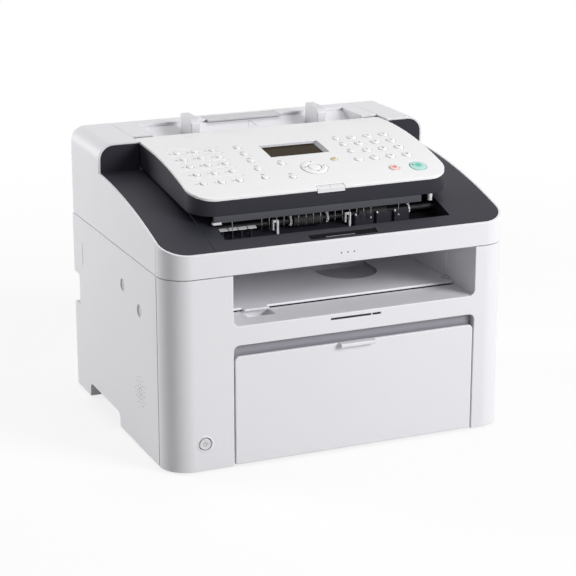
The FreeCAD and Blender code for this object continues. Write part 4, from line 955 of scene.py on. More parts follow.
@dataclass
class PowerButton:
    """Power button in the front cover.

    Its dish is given in shares of its radius, and its ring from the edge of the hole.
    """

    x: float = -148.0
    height: float = 30.0
    radius: float = 5.9
    hole: float = 6.9
    dish: tuple[Corner, ...] = ((0.0, 0.0), (0.5, 0.08), (0.78, 0.35), (0.92, 0.4), (1.0, 0.0))
    flange: Span = (-2.8, -5.0)
    flange_reach: float = 2.5
    end: float = -9.0
    ring: tuple[Corner, ...] = (
        (0.05, -1.2), (0.05, 0.1), (0.4, 0.4), (0.8, 0.4), (1.9, 0.0), (1.9, -1.2),
    )
    mark_radius: float = 1.8
    mark_width: float = 0.45
    mark_sweep: float = 290.0
    mark_thick: float = 0.1
    mark_lift: float = 0.06
    mark_bar_half: float = 0.22
    mark_bar: Span = (0.6, 2.4)

    def build(self) -> None:
        """Dished button with its bezel ring and a mark."""
        place = moved(self.x, FRONT, self.height) @ FACING_FRONT
        radius, (near, far), end = self.radius, self.flange, self.end
        wide = radius + self.flange_reach
        stem = [(radius, near), (wide, near), (wide, far), (radius, far), (radius, end), (0, end)]
        cap = lathe([*sized(self.dish, radius), *stem], steps=48)
        make_piece(placed(cap, place), "power_button_cap", GUIDE, "power_button", "power_button")
        profile = [(self.hole + reach, height) for reach, height in self.ring]
        ring = lathe(profile, steps=48, is_ring=True)
        make_piece(placed(ring, place), "power_button_ring", SHELL, "front_cover")
        arc = arc_band(self.mark_radius, self.mark_width, self.mark_sweep, self.mark_thick)
        bar = block(about(0.0, self.mark_bar_half), self.mark_bar, (0.0, self.mark_thick))
        mark = placed(gather(arc, bar), place @ moved(z=self.mark_lift))
        make_piece(mark, "power_mark", INK, "power_button")


@dataclass
class LowerBody:
    """Covers, door and what shows on them."""

    rim_edge: float = 1.0
    rim_low: float = 5.0
    bulge_edge: float = 3.0
    bulge_drop: float = 9.0
    # Strips of painted shade at the bottoms of the parting lines, measured inwards from the sides.
    seam_half: float = 0.8
    seam_depth: Span = (0.03, 2.0)
    seam_low: float = 4.0
    seam_drop: float = 1.0
    # Slot in the front band, between the output slot and the door.
    slot_height: Span = (140.0, 142.2)
    slot_margin: float = 1.0
    divider_x: float = 31.2
    divider_half: float = 0.6
    divider_setback: Span = (0.3, 2.2)
    # Speaker's holes in the left cover, with dark plugs of painted shade in them.
    speaker_setback: float = 81.4
    speaker_height: float = 63.0
    speaker_reach: float = 19.0
    grille_rings: int = 4
    grille_holes: int = 12
    grille_pitch: float = 3.9
    grille_radius: float = 0.64
    hole_shade_depth: Span = (0.04, 1.5)
    # Moulded pad on the left side, and grey discs of painted shade in its dimples, measured inwards from its
    # face.
    pad_setback: Span = (264.0, 276.0)
    pad_height: Span = (147.0, 171.0)
    pad_depth: Span = (-0.35, 0.5)
    dimples: tuple[Corner, ...] = ((131.0, 161.0), (80.0, 148.3))
    dimple_floor: Span = (1.4, 1.8)
    dimple_floor_radius: float = 6.4

    def build(self) -> None:
        """Makes every piece of the lower body."""
        self.build_covers()
        self.build_seams()
        OutputSlot().build()
        self.build_speaker_hole_shade()
        PowerButton().build()
        self.build_small_parts()

    def off_speaker(self, spot: Vector) -> bool:
        """Whether a place on the left cover is clear of the speaker's holes."""
        reach = math.hypot(spot.y - FRONT - self.speaker_setback, spot.z - self.speaker_height)
        return reach > self.speaker_reach

    def build_covers(self) -> None:
        """Front, side and rear covers, door, toner cover and dust cover."""
        soften("front_cover", SHELL, EdgeRule(self.rim_edge, steps=3, test=self.on_bay_rim), COVER_EDGE)
        soften("left_cover", SHELL, EdgeRule(COVER_EDGE.width, test=self.off_speaker))
        soften("right_cover", SHELL, COVER_EDGE)
        soften("rear_cover", SHELL, EdgeRule(self.bulge_edge, steps=4, test=self.on_bulge_rim), COVER_EDGE)
        soften("tray_door", SHELL, SMALL_EDGE)
        soften("toner_cover", SHELL, COVER_EDGE)
        soften("paper_tray", TRAY, COVER_EDGE)
        soften("sheet_cover", SMOKE, THIN_EDGE)
        soften("rubber_feet", FOOT, COVER_EDGE)

    def on_bay_rim(self, spot: Vector) -> bool:
        """Whether an edge of the front cover borders the output slot or the door, in its front face.

        Args:
            spot: middle of the edge.

        Returns:
            True for an edge of their rims.
        """
        low, high = self.slot_height
        is_slot = low - self.slot_margin < spot.z < high + self.slot_margin
        is_between = self.rim_low < spot.z < SEAM - self.seam_drop
        return abs(spot.y - FRONT) < NEAR and not is_slot and is_between

    def on_bulge_rim(self, spot: Vector) -> bool:
        """Whether an edge of the rear cover borders the bulge's outer face."""
        return abs(spot.y - REAR) < NEAR and spot.z < SEAM - self.bulge_drop

    def build_seams(self) -> None:
        """Strips of painted shade at the bottoms of the gaps between the front cover and the side covers."""
        for side in Side:
            strip = seam_shade_strip(side, self.seam_half, self.seam_depth, (self.seam_low, SEAM - self.seam_drop))
            # The dark ink strips are painted shade in the gaps.
            make_piece(strip, f"{side.name.lower()}_seam", DARK_INK_AND_SHADE, "front_cover")

    def build_speaker_hole_shade(self) -> None:
        """Dark plugs almost flush in the speaker's holes: painted shade, so that the holes show dark."""
        spots = []
        start, end = shifted(self.hole_shade_depth, LEFT)
        for ring in range(1, self.grille_rings + 1):
            for k in range(self.grille_holes):
                turn = 2 * math.pi / self.grille_holes * (k + ring / 2)
                y = FRONT + self.speaker_setback + self.grille_pitch * ring * math.cos(turn)
                z = self.speaker_height + self.grille_pitch * ring * math.sin(turn)
                spots.append(rod((start, y, z), (end, y, z), self.grille_radius, sides=12))
        make_piece(gather(*spots), "speaker_cloth", DARK_INK_AND_SHADE, "left_cover")

    def build_small_parts(self) -> None:
        """Divider of the slot in the front band, and on the left side the pad and grey discs of painted shade
        in the dimples' floors.
        """
        across = about(self.divider_x, self.divider_half)
        divider = block(across, shifted(self.divider_setback, FRONT), self.slot_height)
        make_piece(divider, "front_slot_divider", SHELL, "front_cover")
        pad = block(shifted(self.pad_depth, LEFT), shifted(self.pad_setback, FRONT), self.pad_height)
        make_piece(round_edges(pad, THIN_EDGE), "left_cover_pad", SHELL, "left_cover")
        face, bottom = shifted(self.dimple_floor, LEFT)
        floors = []
        for setback, z in self.dimples:
            y = FRONT + setback
            floors.append(rod((face, y, z), (bottom, y, z), self.dimple_floor_radius, sides=32))
        # The grey discs are painted shade: they darken the dimples' floors.
        make_piece(gather(*floors), "left_cover_dimples", SUPPORT, "left_cover")


@dataclass
class CoverScrews:
    """Pan-head screws in the corners of the rear cover.

    The flat of a head is a share of its radius, its shoulder a share of its height.
    """

    radius: float = 3.6
    head: float = 1.6
    flat: float = 0.8
    shoulder: float = 0.55
    inset: float = 18.0
    rise: float = 16.0
    drop: float = 14.0
    thread_radius: float = 1.5
    thread_length: float = 8.0
    recess_reach: float = 2.1
    recess_half: float = 0.45
    recess_depth: float = 1.0

    def build(self) -> None:
        """Screws in the corners of the rear cover."""
        screws = []
        for side in Side:
            for height in (self.rise, SEAM - self.drop):
                place = moved(side.value * (-LEFT - self.inset), BACK, height) @ turned(-90, "X")
                screws.append(placed(self.screw(), place))
        make_piece(gather(*screws), "rear_cover_screws", SHAFT, "cover_screws", "cover_screws")

    def screw(self) -> Mesh:
        """Pan-head screw with a cross recess, standing on Z = 0 with its thread below.

        Returns:
            The screw.
        """
        half, reach, head = self.recess_half, self.recess_reach, self.head
        cross = [(reach, -half), (reach, half), (half, half), (half, reach), (-half, reach), (-half, half),
                 (-reach, half), (-reach, -half), (-half, -half), (-half, -reach), (half, -reach),
                 (half, -half)]
        turns = [math.atan2(y, x) for x, y in cross]
        loops = [at_height(cross, head - self.recess_depth), at_height(cross, head)]
        for radius, height in (
            (self.radius * self.flat, head),
            (self.radius, head * self.shoulder),
            (self.radius, 0.0),
            (self.thread_radius, 0.0),
            (self.thread_radius, -self.thread_length),
        ):
            loops.append([(radius * math.cos(turn), radius * math.sin(turn), height) for turn in turns])
        return skin(loops)


@dataclass
class Boards:
    """Parts on the main board and the power supply."""

    # Parts of the boards: places along and up from the lower front corner, then a chip's or socket's width,
    # a chip's height, and a capacitor's radius and length.
    chip_proud: float = 1.6
    chips: tuple[Measures, ...] = ((60, 62, 28, 28), (104, 70, 20, 14), (30, 30, 16, 20), (120, 30, 24, 12))
    socket_proud: float = 6.0
    socket_height: float = 5.0
    sockets: tuple[Measures, ...] = ((20, 126, 40), (76, 126, 26), (124, 126, 34), (150, 8, 20))
    capacitors: tuple[Measures, ...] = ((30, 30, 8, 14), (52, 26, 6, 12), (120, 70, 5, 12))
    transformer_proud: float = 13.0
    transformer_y: Span = (78.0, 106.0)
    transformer_z: Span = (40.0, 68.0)

    def build(self) -> None:
        """Makes the parts of both boards."""
        self.build_main_board()
        self.build_power_supply()

    def build_main_board(self) -> None:
        """Chips and sockets of the main board."""
        low = low_corner("main_board")
        chips = []
        for y, z, wide, tall in self.chips:
            across, up = shifted((y, y + wide), low.y), shifted((z, z + tall), low.z)
            chips.append(block((low.x - self.chip_proud, low.x), across, up))
        chip_edge = EdgeRule(FINE_EDGE.width, steps=1)
        make_piece(round_edges(gather(*chips), chip_edge), "main_board_chips", BLACK, "main_board")
        sockets = []
        for y, z, wide in self.sockets:
            across, up = shifted((y, y + wide), low.y), shifted((z, z + self.socket_height), low.z)
            sockets.append(block((low.x - self.socket_proud, low.x), across, up))
        make_piece(round_edges(gather(*sockets), FITTING_EDGE), "main_board_sockets", GUIDE, "main_board")

    def build_power_supply(self) -> None:
        """Capacitors and transformer of the power supply."""
        low, face = low_corner("power_supply"), high_corner("power_supply").x
        cans = []
        for along, up, radius, tall in self.capacitors:
            y, z = low.y + along, low.z + up
            cans.append(rod((face, y, z), (face + tall, y, z), radius, sides=24))
        make_piece(round_edges(gather(*cans), SOFT_EDGE), "power_supply_capacitors", BLACK, "power_supply")
        y, z = shifted(self.transformer_y, low.y), shifted(self.transformer_z, low.z)
        core = block((face, face + self.transformer_proud), y, z)
        make_piece(round_edges(core, SOFT_EDGE), "power_supply_transformer", SUPPORT, "power_supply")


@dataclass
class InnerWorks:
    """Frames, boards, rollers and units inside the body, and the screws that hold it together."""

    # Points of a roller further out than this share of its radius are on its tyre.
    tyre_share: float = 0.95
    least_shaft: float = 0.5

    def build(self) -> None:
        """Makes every piece of the inner works."""
        for node, finish in (
            ("base_frame", SHEET_STEEL),
            ("hinge_pins", SHAFT),
            ("toner_cartridge", BLACK),
            ("laser_unit", BLACK),
            ("main_board", BOARD),
            ("power_supply", BOARD),
            ("power_inlet", BLACK),
            ("phone_jacks", GUIDE),
            ("speaker", BLACK),
            ("fixing_roller", SHAFT),
            ("scan_unit", BLACK),
            ("panel_board", BOARD),
        ):
            soften(node, finish, SMALL_EDGE)
        CoverScrews().build()
        for node in ("pickup_roller", "feed_roller"):
            self.build_roller(node)
        Boards().build()

    def build_roller(self, node: str) -> None:
        """Steel shaft with a rubber tyre, in place of a roller of one piece.

        Args:
            node: the roller's CAD node.
        """
        low, high = low_corner(node), high_corner(node)
        _, y, z = (low + high) / 2
        radius = (high.z - low.z) / 2
        points = [v.co / MM for v in frame["nodes"][node].data.vertices]
        reaches = [(p.x, math.hypot(p.y - y, p.z - z)) for p in points]
        tyre_x = [x for x, reach in reaches if reach > radius * self.tyre_share]
        shaft = min(reach for x, reach in reaches if abs(x - low.x) < NEAR and reach > self.least_shaft)
        core = rod((low.x, y, z), (high.x, y, z), shaft, sides=32)
        make_piece(core, f"{node}_shaft", SHAFT, node, node)
        tyre = rod((min(tyre_x), y, z), (max(tyre_x), y, z), radius, sides=48)
        make_piece(round_edges(tyre, SOFT_EDGE), f"{node}_tyre", RUBBER, node)


@dataclass
class DocumentTray:
    """Tray for the sheets to be sent, with its guides, support flap and mark."""

    guide_edge: float = 1.2
    # Document tray's floor and the mark on it.
    tray_height: float = 252.5
    tray_slope: float = 36.0 / 76.0
    mark_x: float = 11.3
    mark_y: float = 109.0
    mark_outline: tuple[Corner, ...] = (
        (-5.6, 0.0), (-4.7, 0.0), (0.0, 10.4), (4.7, 0.0), (5.6, 0.0), (0.0, 12.2),
    )
    mark_thick: float = 0.35
    mark_sunk: float = 0.05

    def build(self) -> None:
        """Document tray with its two guides and the support flap."""
        soften("document_tray", SHELL, SMALL_EDGE)
        for side in Side:
            soften(f"document_guide_{side.name.lower()}", GUIDE, EdgeRule(self.guide_edge, steps=3))
        soften("document_support", SUPPORT, SMALL_EDGE)
        height = self.tray_height + self.tray_slope * (self.mark_y - FRONT - PLATE_CREST)
        slope = Matrix.Rotation(math.atan(self.tray_slope), 4, "X")
        chevron = placed(tile(self.mark_outline, self.mark_thick),
                         moved(self.mark_x, self.mark_y, height - self.mark_sunk) @ slope)
        make_piece(chevron, "document_tray_mark", SUPPORT, "document_tray")


@dataclass
class DocumentStopper:
    """Flap that is sunk into the deck, near-black as painted shade."""

    x: Span = (-33.0, 39.0)
    setback: Span = (6.6, 12.9)
    sunk: float = 0.8
    thick: float = 1.2
    edge: float = 0.25
    ridge_x: Span = (-16.6, 15.0)
    ridge_inset: Span = (0.2, 1.1)
    ridge_sunk: float = 0.1

    def build(self) -> None:
        """Sunken flap in the deck, near-black as the painted shade of its slot, with a ridge for the finger.
        """
        front, back = self.setback
        place, half = DECK_FACE.at(0.0, (front + back) / 2), (back - front) / 2
        top = -self.sunk
        flap = block(self.x, about(0.0, half), (top - self.thick, top))
        flap = placed(round_edges(flap, EdgeRule(self.edge)), place)
        # The flap's near-black finish is painted shade: it stands for the dark of its slot.
        make_piece(flap, "document_stopper_flap", SHADE, "document_stopper", "document_stopper")
        ridge = block(self.ridge_x, shifted(self.ridge_inset, -half), (top, -self.ridge_sunk))
        ridge = placed(round_edges(ridge, FINE_EDGE), place)
        make_piece(ridge, "document_stopper_ridge", INK, "document_stopper")


@dataclass
class ExitRoller:
    """Roller that pushes the scanned sheets out, with its tyres and star wheels."""

    setback: float = 56.0
    height: float = 230.5
    radius: float = 6.0
    core: float = 3.0
    tyre_starts: Measures = (-31.0, 40.0)
    tyre_width: float = 31.0
    tyre_steps: int = 31
    tyre_groove: float = 0.5
    star_x: Measures = (-35.0, 5.0, 96.0)
    star_points: int = 14
    star_radii: Span = (3.6, 5.0)
    star_thick: float = 2.0

    def build(self) -> None:
        """Shaft with two ribbed tyres and the star wheels beside them."""
        y, z = FRONT + self.setback, self.height
        along_x = moved(0.0, y, z) @ turned(90, "Y")
        left, right = low_corner("exit_roller").x, high_corner("exit_roller").x
        shaft = rod((left, y, z), (right, y, z), self.core, sides=32)
        make_piece(shaft, "exit_roller_shaft", BLACK, "exit_roller", "exit_roller")
        tyres = []
        for start in self.tyre_starts:
            profile = [(self.core, start)]
            for step in range(self.tyre_steps + 1):
                radius = self.radius - step % 2 * self.tyre_groove
                profile.append((radius, start + step * self.tyre_width / self.tyre_steps))
            profile.append((self.core, start + self.tyre_width))
            tyres.append(placed(lathe(profile, is_ring=True), along_x))
        make_piece(gather(*tyres), "exit_roller_tyres", RUBBER, "exit_roller")
        star = []
        for k in range(2 * self.star_points):
            radius, turn = self.star_radii[k % 2], math.pi * k / self.star_points
            star.append((radius * math.cos(turn), radius * math.sin(turn)))
        wheels = [placed(tile(star, self.star_thick), along_x @ moved(z=x)) for x in self.star_x]
        make_piece(gather(*wheels), "exit_star_wheels", GUIDE, "exit_roller")


@dataclass
class ExitFittings:
    """What stands on the floor of the document path.

    Heights count from the floor under the fittings.
    """

    path_start: float = 20.0
    path_height: float = 215.0
    path_slope: float = 34.0 / 180.0
    setback: float = 50.0
    root: float = 0.5
    slat_count: int = 4
    slat_left: float = -107.3
    slat_pitch: float = 10.0
    slat_half: Measures = (4.6, 2.4, 0.5)
    slat_lift: float = 9.4
    slat_tilt: float = 20.0
    leg_x: Span = (-1.5, -0.1)
    leg_y: Span = (-1.2, 1.6)
    leg_top: float = 9.0
    bracket_x: Span = (-55.6, 23.2)
    bracket_outline: tuple[Corner, ...] = (
        (0.0, 4.0), (1.7, 4.0), (1.7, 11.6), (4.6, 11.6), (4.6, -0.5), (6.8, -0.5), (6.8, 14.0), (0.0, 14.0),
    )
    bracket_thick: float = 3.0
    rib_x: Measures = (33.6, 57.4, 77.4)
    rib_half: float = 0.8
    rib_y: Span = (-5.0, -1.0)
    rib_top: float = 12.5
    tip_half: float = 0.9
    tip_y: Span = (-5.4, -3.4)
    tip_height: Span = (10.6, 12.7)
    wall_x: Span = (31.5, 95.0)
    wall_y: Span = (-2.0, -1.0)
    wall_height: Span = (-0.6, 11.0)
    # Near-black sheet of painted shade on the path's floor at the right.
    well_x: Span = (97.0, 126.0)
    well_half: float = 28.0
    well_height: Span = (0.05, 0.4)

    def build(self) -> None:
        """Slats, brackets and ribs that the scanned sheets slide over, and a near-black sheet of painted
        shade on the floor at the right.
        """
        y, floor = FRONT + self.setback, self.path_at(self.setback)
        self.build_slats(y, floor)
        brackets = []
        for left in self.bracket_x:
            bracket = tile(self.bracket_outline, self.bracket_thick)
            brackets.append(placed(bracket, moved(left, y + self.bracket_thick / 2, floor) @ FACING_FRONT))
        make_piece(round_edges(gather(*brackets), FITTING_EDGE), "sheet_brackets", GUIDE, "deck_panel")
        self.build_ribs(y, floor)
        # The well is painted shade: a near-black sheet on the floor where the path lies in deep shadow.
        well = block(self.well_x, about(0.0, self.well_half), self.well_height)
        slope = Matrix.Rotation(math.atan(self.path_slope), 4, "X")
        make_piece(placed(well, moved(0.0, y, floor) @ slope), "exit_well", SHADE, "deck_panel")

    def path_at(self, setback: float) -> float:
        """Height of the document path's floor at a setback."""
        return self.path_height + self.path_slope * (setback - self.path_start)

    def build_slats(self, y: float, floor: float) -> None:
        """Tilted slats at the left, each on a leg.

        Args:
            y: where the fittings stand.
            floor: height of the path's floor there.
        """
        slats, legs = [], []
        for k in range(self.slat_count):
            x = self.slat_left + self.slat_pitch * k
            slat = block(*(about(0.0, half) for half in self.slat_half))
            slats.append(placed(slat, moved(x, y, floor + self.slat_lift) @ turned(self.slat_tilt, "X")))
            height = shifted((-self.root, self.leg_top), floor)
            legs.append(block(shifted(self.leg_x, x), shifted(self.leg_y, y), height))
        make_piece(round_edges(gather(*slats), FITTING_EDGE), "sheet_slats", SUPPORT, "deck_panel")
        make_piece(gather(*legs), "slat_legs", DECK, "deck_panel")

    def build_ribs(self, y: float, floor: float) -> None:
        """Ribs with pale tips at the right, and the low wall behind them.

        Args:
            y: where the fittings stand.
            floor: height of the path's floor there.
        """
        ribs, tips = [], []
        foot = self.path_at(self.setback + self.rib_y[0]) - self.root
        rib_y, rib_height = shifted(self.rib_y, y), (foot, floor + self.rib_top)
        tip_y, tip_height = shifted(self.tip_y, y), shifted(self.tip_height, floor)
        for x in self.rib_x:
            ribs.append(block(about(x, self.rib_half), rib_y, rib_height))
            tips.append(block(about(x, self.tip_half), tip_y, tip_height))
        ribs.append(block(self.wall_x, shifted(self.wall_y, y), shifted(self.wall_height, floor)))
        make_piece(round_edges(gather(*ribs), FITTING_EDGE), "sheet_ribs", DECK, "deck_panel")
        make_piece(round_edges(gather(*tips), FITTING_EDGE), "sheet_rib_tips", GUIDE, "deck_panel")


@dataclass
class UpperUnit:
    """White cover and charcoal deck, with what they carry."""

    # Parting lines of the cover and the deck, and the strips of painted shade in the former.
    side_skin: float = 0.2
    seam_depth: float = 0.9
    seam_half: float = 0.5
    seam_low: float = SEAM + 1.5
    strip_half: float = 0.4
    strip_depth: Span = (0.05, 2.05)
    strip_top: float = 229.5
    deck_seam: PartingLine = PartingLine(-134.0, 0.5, 0.35)
    deck_skin: float = 0.15
    deck_margin: float = 1.0
    # Status lamps. Their dome is given in shares of their radius.
    lamp_x: Measures = (-3.0, 4.0, 11.0)
    lamp_height: float = 208.5
    lamp_radius: float = 0.9
    lamp_dome: tuple[Corner, ...] = ((0.0, 0.25), (0.7, 0.2), (1.0, 0.0), (1.0, -0.5), (0.0, -0.5))

    def build(self) -> None:
        """Makes every piece of the upper unit."""
        self.build_shells()
        self.build_lamps()
        DocumentTray().build()
        DocumentStopper().build()
        ExitRoller().build()
        ExitFittings().build()

    def build_shells(self) -> None:
        """White cover and charcoal deck, with their parting lines and the cover's strips of painted shade,
        and the plate under them.
        """
        cover = round_edges(copy_of("upper_cover"), COVER_EDGE)
        line = PartingLine(FRONT + SIDE_SEAM, self.seam_depth, self.seam_half)
        for side in Side:
            score(cover, 1, line, lambda spot: self.on_side(spot, side), Vector((-side.value, 0.0, 0.0)))
        make_piece(cover, "upper_cover_shell", SHELL, "upper_cover", "upper_cover")
        height = (self.seam_low, self.strip_top)
        strips = [seam_shade_strip(side, self.strip_half, self.strip_depth, height) for side in Side]
        # These dark strips are painted shade in the cover's parting lines.
        make_piece(gather(*strips), "upper_seams", DARK_INK_AND_SHADE, "upper_cover")
        deck = round_edges(copy_of("deck_panel"), SMALL_EDGE)
        score(deck, 0, self.deck_seam, self.on_deck, Vector((0.0, 0.0, -1.0)))
        make_piece(deck, "deck_panel_shell", DECK, "deck_panel", "deck_panel")
        soften("upper_frame", SHELL, COVER_EDGE)

    def build_lamps(self) -> None:
        """Status lamps in the front of the white cover."""
        lamps = []
        for x in self.lamp_x:
            lamp = lathe(sized(self.lamp_dome, self.lamp_radius), steps=20)
            lamps.append(placed(lamp, moved(x, FRONT, self.lamp_height) @ FACING_FRONT))
        make_piece(gather(*lamps), "status_lamps", INK, "upper_cover")

    def on_side(self, spot: Vector, side: Side) -> bool:
        """Whether a point is in one of the cover's side faces, above the seam to the lower body."""
        return spot.x * side.value > -LEFT - self.side_skin and spot.z > self.seam_low

    def on_deck(self, spot: Vector) -> bool:
        """Whether a point is in the deck's top face.

        Args:
            spot: the point.

        Returns:
            True in front of the tray and on the face.
        """
        setback = spot.y - FRONT
        is_ahead = setback < PLATE_CREST - self.deck_margin
        return is_ahead and abs(spot.z - DECK_FACE.height(setback)) < self.deck_skin


class Legend(Enum):
    """What is printed on a key that stands alone."""

    NONE = 0
    DISC = 1
    START = 2


@dataclass(frozen=True)
class SingleKey:
    """A key with a body of its own."""

    node: str
    x: float
    setback: float
    radius: float
    finish: Finish = KEY
    legend: Legend = Legend.NONE
    ink: Finish = DARK_INK_AND_SHADE


@dataclass
class KeyField:
    """Keys on the plate, their ridges and what is printed on them."""

    # Key caps. The dome is given in shares of a cap's radius and drops from its top.
    proud: float = 1.3
    slack: float = 0.25
    dome: tuple[Corner, ...] = ((0.0, 0.0), (0.6, 0.06), (0.86, 0.3), (1.0, 0.9))
    flange_depth: Span = (2.8, 3.8)
    flange_reach: float = 1.2
    # Rows and columns of the keys.
    row_first: float = 145.3
    row_pitch: float = 18.6
    row_count: int = 5
    touch_left: float = -119.5
    touch_pitch: float = 19.0
    touch_columns: int = 3
    mode_x: float = -54.0
    side_x: float = 57.6
    side_small: int = 3
    side_count: int = 4
    dial_left: float = 75.3
    dial_pitch: float = 18.4
    dial_columns: int = 3
    dial_signs: str = "123456789*0#"
    small_radius: float = 3.6
    dial_radius: float = 5.0
    # Ring key with its arrows, and the key in its middle. The ring's face is given from its bore and its rim.
    ring_x: float = 4.0
    ring_setback: float = 81.4
    ring_radius: float = 14.0
    ring_bore_gap: float = 0.3
    ring_flange_reach: float = 1.4
    ring_inner: tuple[Corner, ...] = ((0.0, 0.7), (0.5, 1.05))
    ring_outer: tuple[Corner, ...] = ((-3.5, 1.45), (-1.0, 1.1), (0.0, 0.3))
    ok_radius: float = 7.0
    ok_dome: tuple[Corner, ...] = ((0.0, 1.6), (4.0, 1.5), (6.0, 1.15))
    ok_rim: float = 0.5
    arrow_outline: tuple[Corner, ...] = ((-1.1, -0.8), (1.1, -0.8), (0.0, 1.0))
    arrow_inset: float = 3.4
    arrow_lift: float = 1.42
    # Printing on the keys and the plate.
    ink_sunk: float = 0.04
    disc_share: float = 0.4
    disc_thick: float = 0.08
    print_thick: float = 0.06
    start_bar_x: Span = (-6.2, -4.4)
    start_bar_y: Span = (1.2, 2.6)
    sign_height: float = 3.8
    number_gap: float = 7.4
    number_height: float = 2.2
    number_lift: float = 0.03
    bar_rise: float = 6.4
    bar_x: Span = (-2.6, 1.8)
    bar_half: float = 0.45
    bar_thick: float = 0.07
    # Ridges behind the rows of one-touch keys.
    ridge_x: Span = (-133.0, -73.5)
    ridge_rise: float = 10.5
    ridge_half: float = 0.4
    ridge_turn: float = 3.4
    ridge_thick: float = 0.45

    def build(self) -> None:
        """Makes every key and its print."""
        self.build_ridges()
        self.build_key_strips()
        self.build_single_keys()
        self.build_dial_keys()
        self.build_ring()
        self.build_printing()

    def row(self, number: int) -> float:
        """Setback of a row of keys, counted from the back."""
        return self.row_first - number * self.row_pitch

    def touch_x(self, number: int) -> float:
        """Place across the plate of a one-touch key, counted from the left of the last row."""
        return self.touch_left + number % self.touch_columns * self.touch_pitch

    def cap(self, radius: float) -> Mesh:
        """Domed key cap with the flange that holds it under the plate.

        Args:
            radius: radius of the key's opening.

        Returns:
            The cap, on the plate's face at the origin.
        """
        near, far = self.flange_depth
        wide, slim = radius + self.flange_reach, radius - self.slack
        dome = [(share, self.proud - drop) for share, drop in self.dome]
        return lathe([*sized(dome, slim), (slim, -near), (wide, -near), (wide, -far), (0, -far)])

    def build_ridges(self) -> None:
        """Thin raised ridge behind each row of one-touch keys, turned down at its right end."""
        ridges = []
        left, half, turn = self.ridge_x[0], self.ridge_half, -self.ridge_turn
        near, far = about(self.ridge_x[1], half)
        outline = [(left, -half), (near, -half), (near, turn), (far, turn), (far, half), (left, half)]
        for number in range(self.row_count):
            ridge = round_edges(tile(outline, self.ridge_thick), FINE_EDGE)
            ridges.append(placed(ridge, KEY_PLATE.at(0.0, self.row(number) + self.ridge_rise)))
        make_piece(gather(*ridges), "one_touch_ridges", PLATE, "panel_plate")

    def build_key_strips(self) -> None:
        """Keys that are moulded together."""
        small, rows = self.small_radius, range(self.row_count)
        touch = range(self.row_count * self.touch_columns)
        side_radii = [small if i < self.side_small else self.dial_radius for i in range(self.side_count)]
        strips = {
            "one_touch_keys": [(self.touch_x(i), self.row(i // self.touch_columns), small) for i in touch],
            "mode_keys": [(self.mode_x, self.row(i), small) for i in rows],
            "side_keys": [(self.side_x, self.row(i), radius) for i, radius in enumerate(side_radii)],
        }
        for node, spots in strips.items():
            caps = [placed(self.cap(radius), KEY_PLATE.at(x, setback)) for x, setback, radius in spots]
            make_piece(gather(*caps), f"{node}_caps", KEY, node, node)

    def plain_keys(self) -> list[SingleKey]:
        """The single keys that only have a bar printed behind them.

        Returns:
            The keys.
        """
        return [
            SingleKey("menu_key", -25.5, 96.0, self.small_radius),
            SingleKey("return_key", -25.5, 67.0, self.small_radius),
        ]

    def coloured_keys(self) -> list[SingleKey]:
        """The single keys with a colour and a print of their own.

        Returns:
            The keys.
        """
        return [
            SingleKey("saver_key", 32.0, 94.5, self.small_radius, KEY_AMBER, Legend.DISC, INK_AMBER),
            SingleKey("stop_key", 86.0, 65.0, 5.5, KEY_SALMON, Legend.DISC, INK_RED),
            SingleKey("start_key", 112.3, 64.0, 9.0, KEY_TEAL, Legend.START, INK_TEAL),
        ]

    def build_single_keys(self) -> None:
        """Keys with a body of their own, and what is printed on them."""
        for key in self.plain_keys() + self.coloured_keys():
            cap = placed(self.cap(key.radius), KEY_PLATE.at(key.x, key.setback))
            make_piece(cap, f"{key.node}_cap", key.finish, key.node, key.node)
            top = KEY_PLATE.at(key.x, key.setback, self.proud - self.ink_sunk)
            if key.legend is not Legend.NONE:
                radius, thick = key.radius * self.disc_share, self.disc_thick
                disc = lathe([(0, thick), (radius, thick), (radius, 0), (0, 0)], steps=24)
                make_piece(placed(disc, top), f"{key.node}_mark", key.ink, key.node)
            if key.legend is Legend.START:
                bar = block(self.start_bar_x, self.start_bar_y, (0.0, self.print_thick))
                make_piece(placed(bar, top), f"{key.node}_bar", DARK_INK_AND_SHADE, key.node)

    def build_dial_keys(self) -> None:
        """Dial keys with their numbers and signs."""
        names = {"*": "star", "#": "hash"}
        for i, sign in enumerate(self.dial_signs):
            node = f"dial_key_{names.get(sign, sign)}"
            x = self.dial_left + i % self.dial_columns * self.dial_pitch
            setback = self.row(i // self.dial_columns)
            cap = placed(self.cap(self.dial_radius), KEY_PLATE.at(x, setback))
            make_piece(cap, f"{node}_cap", KEY, node, node)
            number = placed(lettering(sign, self.sign_height), KEY_PLATE.at(x, setback, self.proud))
            make_piece(number, f"{node}_sign", INK, node)

    def build_ring(self) -> None:
        """Ring key with four arrows, and the key in its middle."""
        place = KEY_PLATE.at(self.ring_x, self.ring_setback)
        bore, rim = self.ok_radius + self.ring_bore_gap, self.ring_radius - self.slack
        (near, far), wide = self.flange_depth, rim + self.ring_flange_reach
        inner = [(bore + reach, height) for reach, height in self.ring_inner]
        outer = [(rim + reach, height) for reach, height in self.ring_outer]
        flange = [(rim, -near), (wide, -near), (wide, -far)]
        ring = lathe([(bore, -far), *inner, *outer, *flange], steps=48, is_ring=True)
        make_piece(placed(ring, place), "ring_key_cap", KEY, "ring_key", "ring_key")
        arrows, spot = [], moved(0.0, rim - self.arrow_inset, self.arrow_lift)
        for turn in (0, 90, 180, 270):
            arrows.append(placed(tile(self.arrow_outline, self.print_thick), turned(turn, "Z") @ spot))
        make_piece(placed(gather(*arrows), place), "ring_key_arrows", DARK_INK_AND_SHADE, "ring_key")
        core = self.ok_radius - self.slack
        ok = lathe([*self.ok_dome, (core, self.ok_rim), (core, -far), (0, -far)], steps=40)
        make_piece(placed(ok, place), "ok_key_cap", KEY, "ok_key", "ok_key")

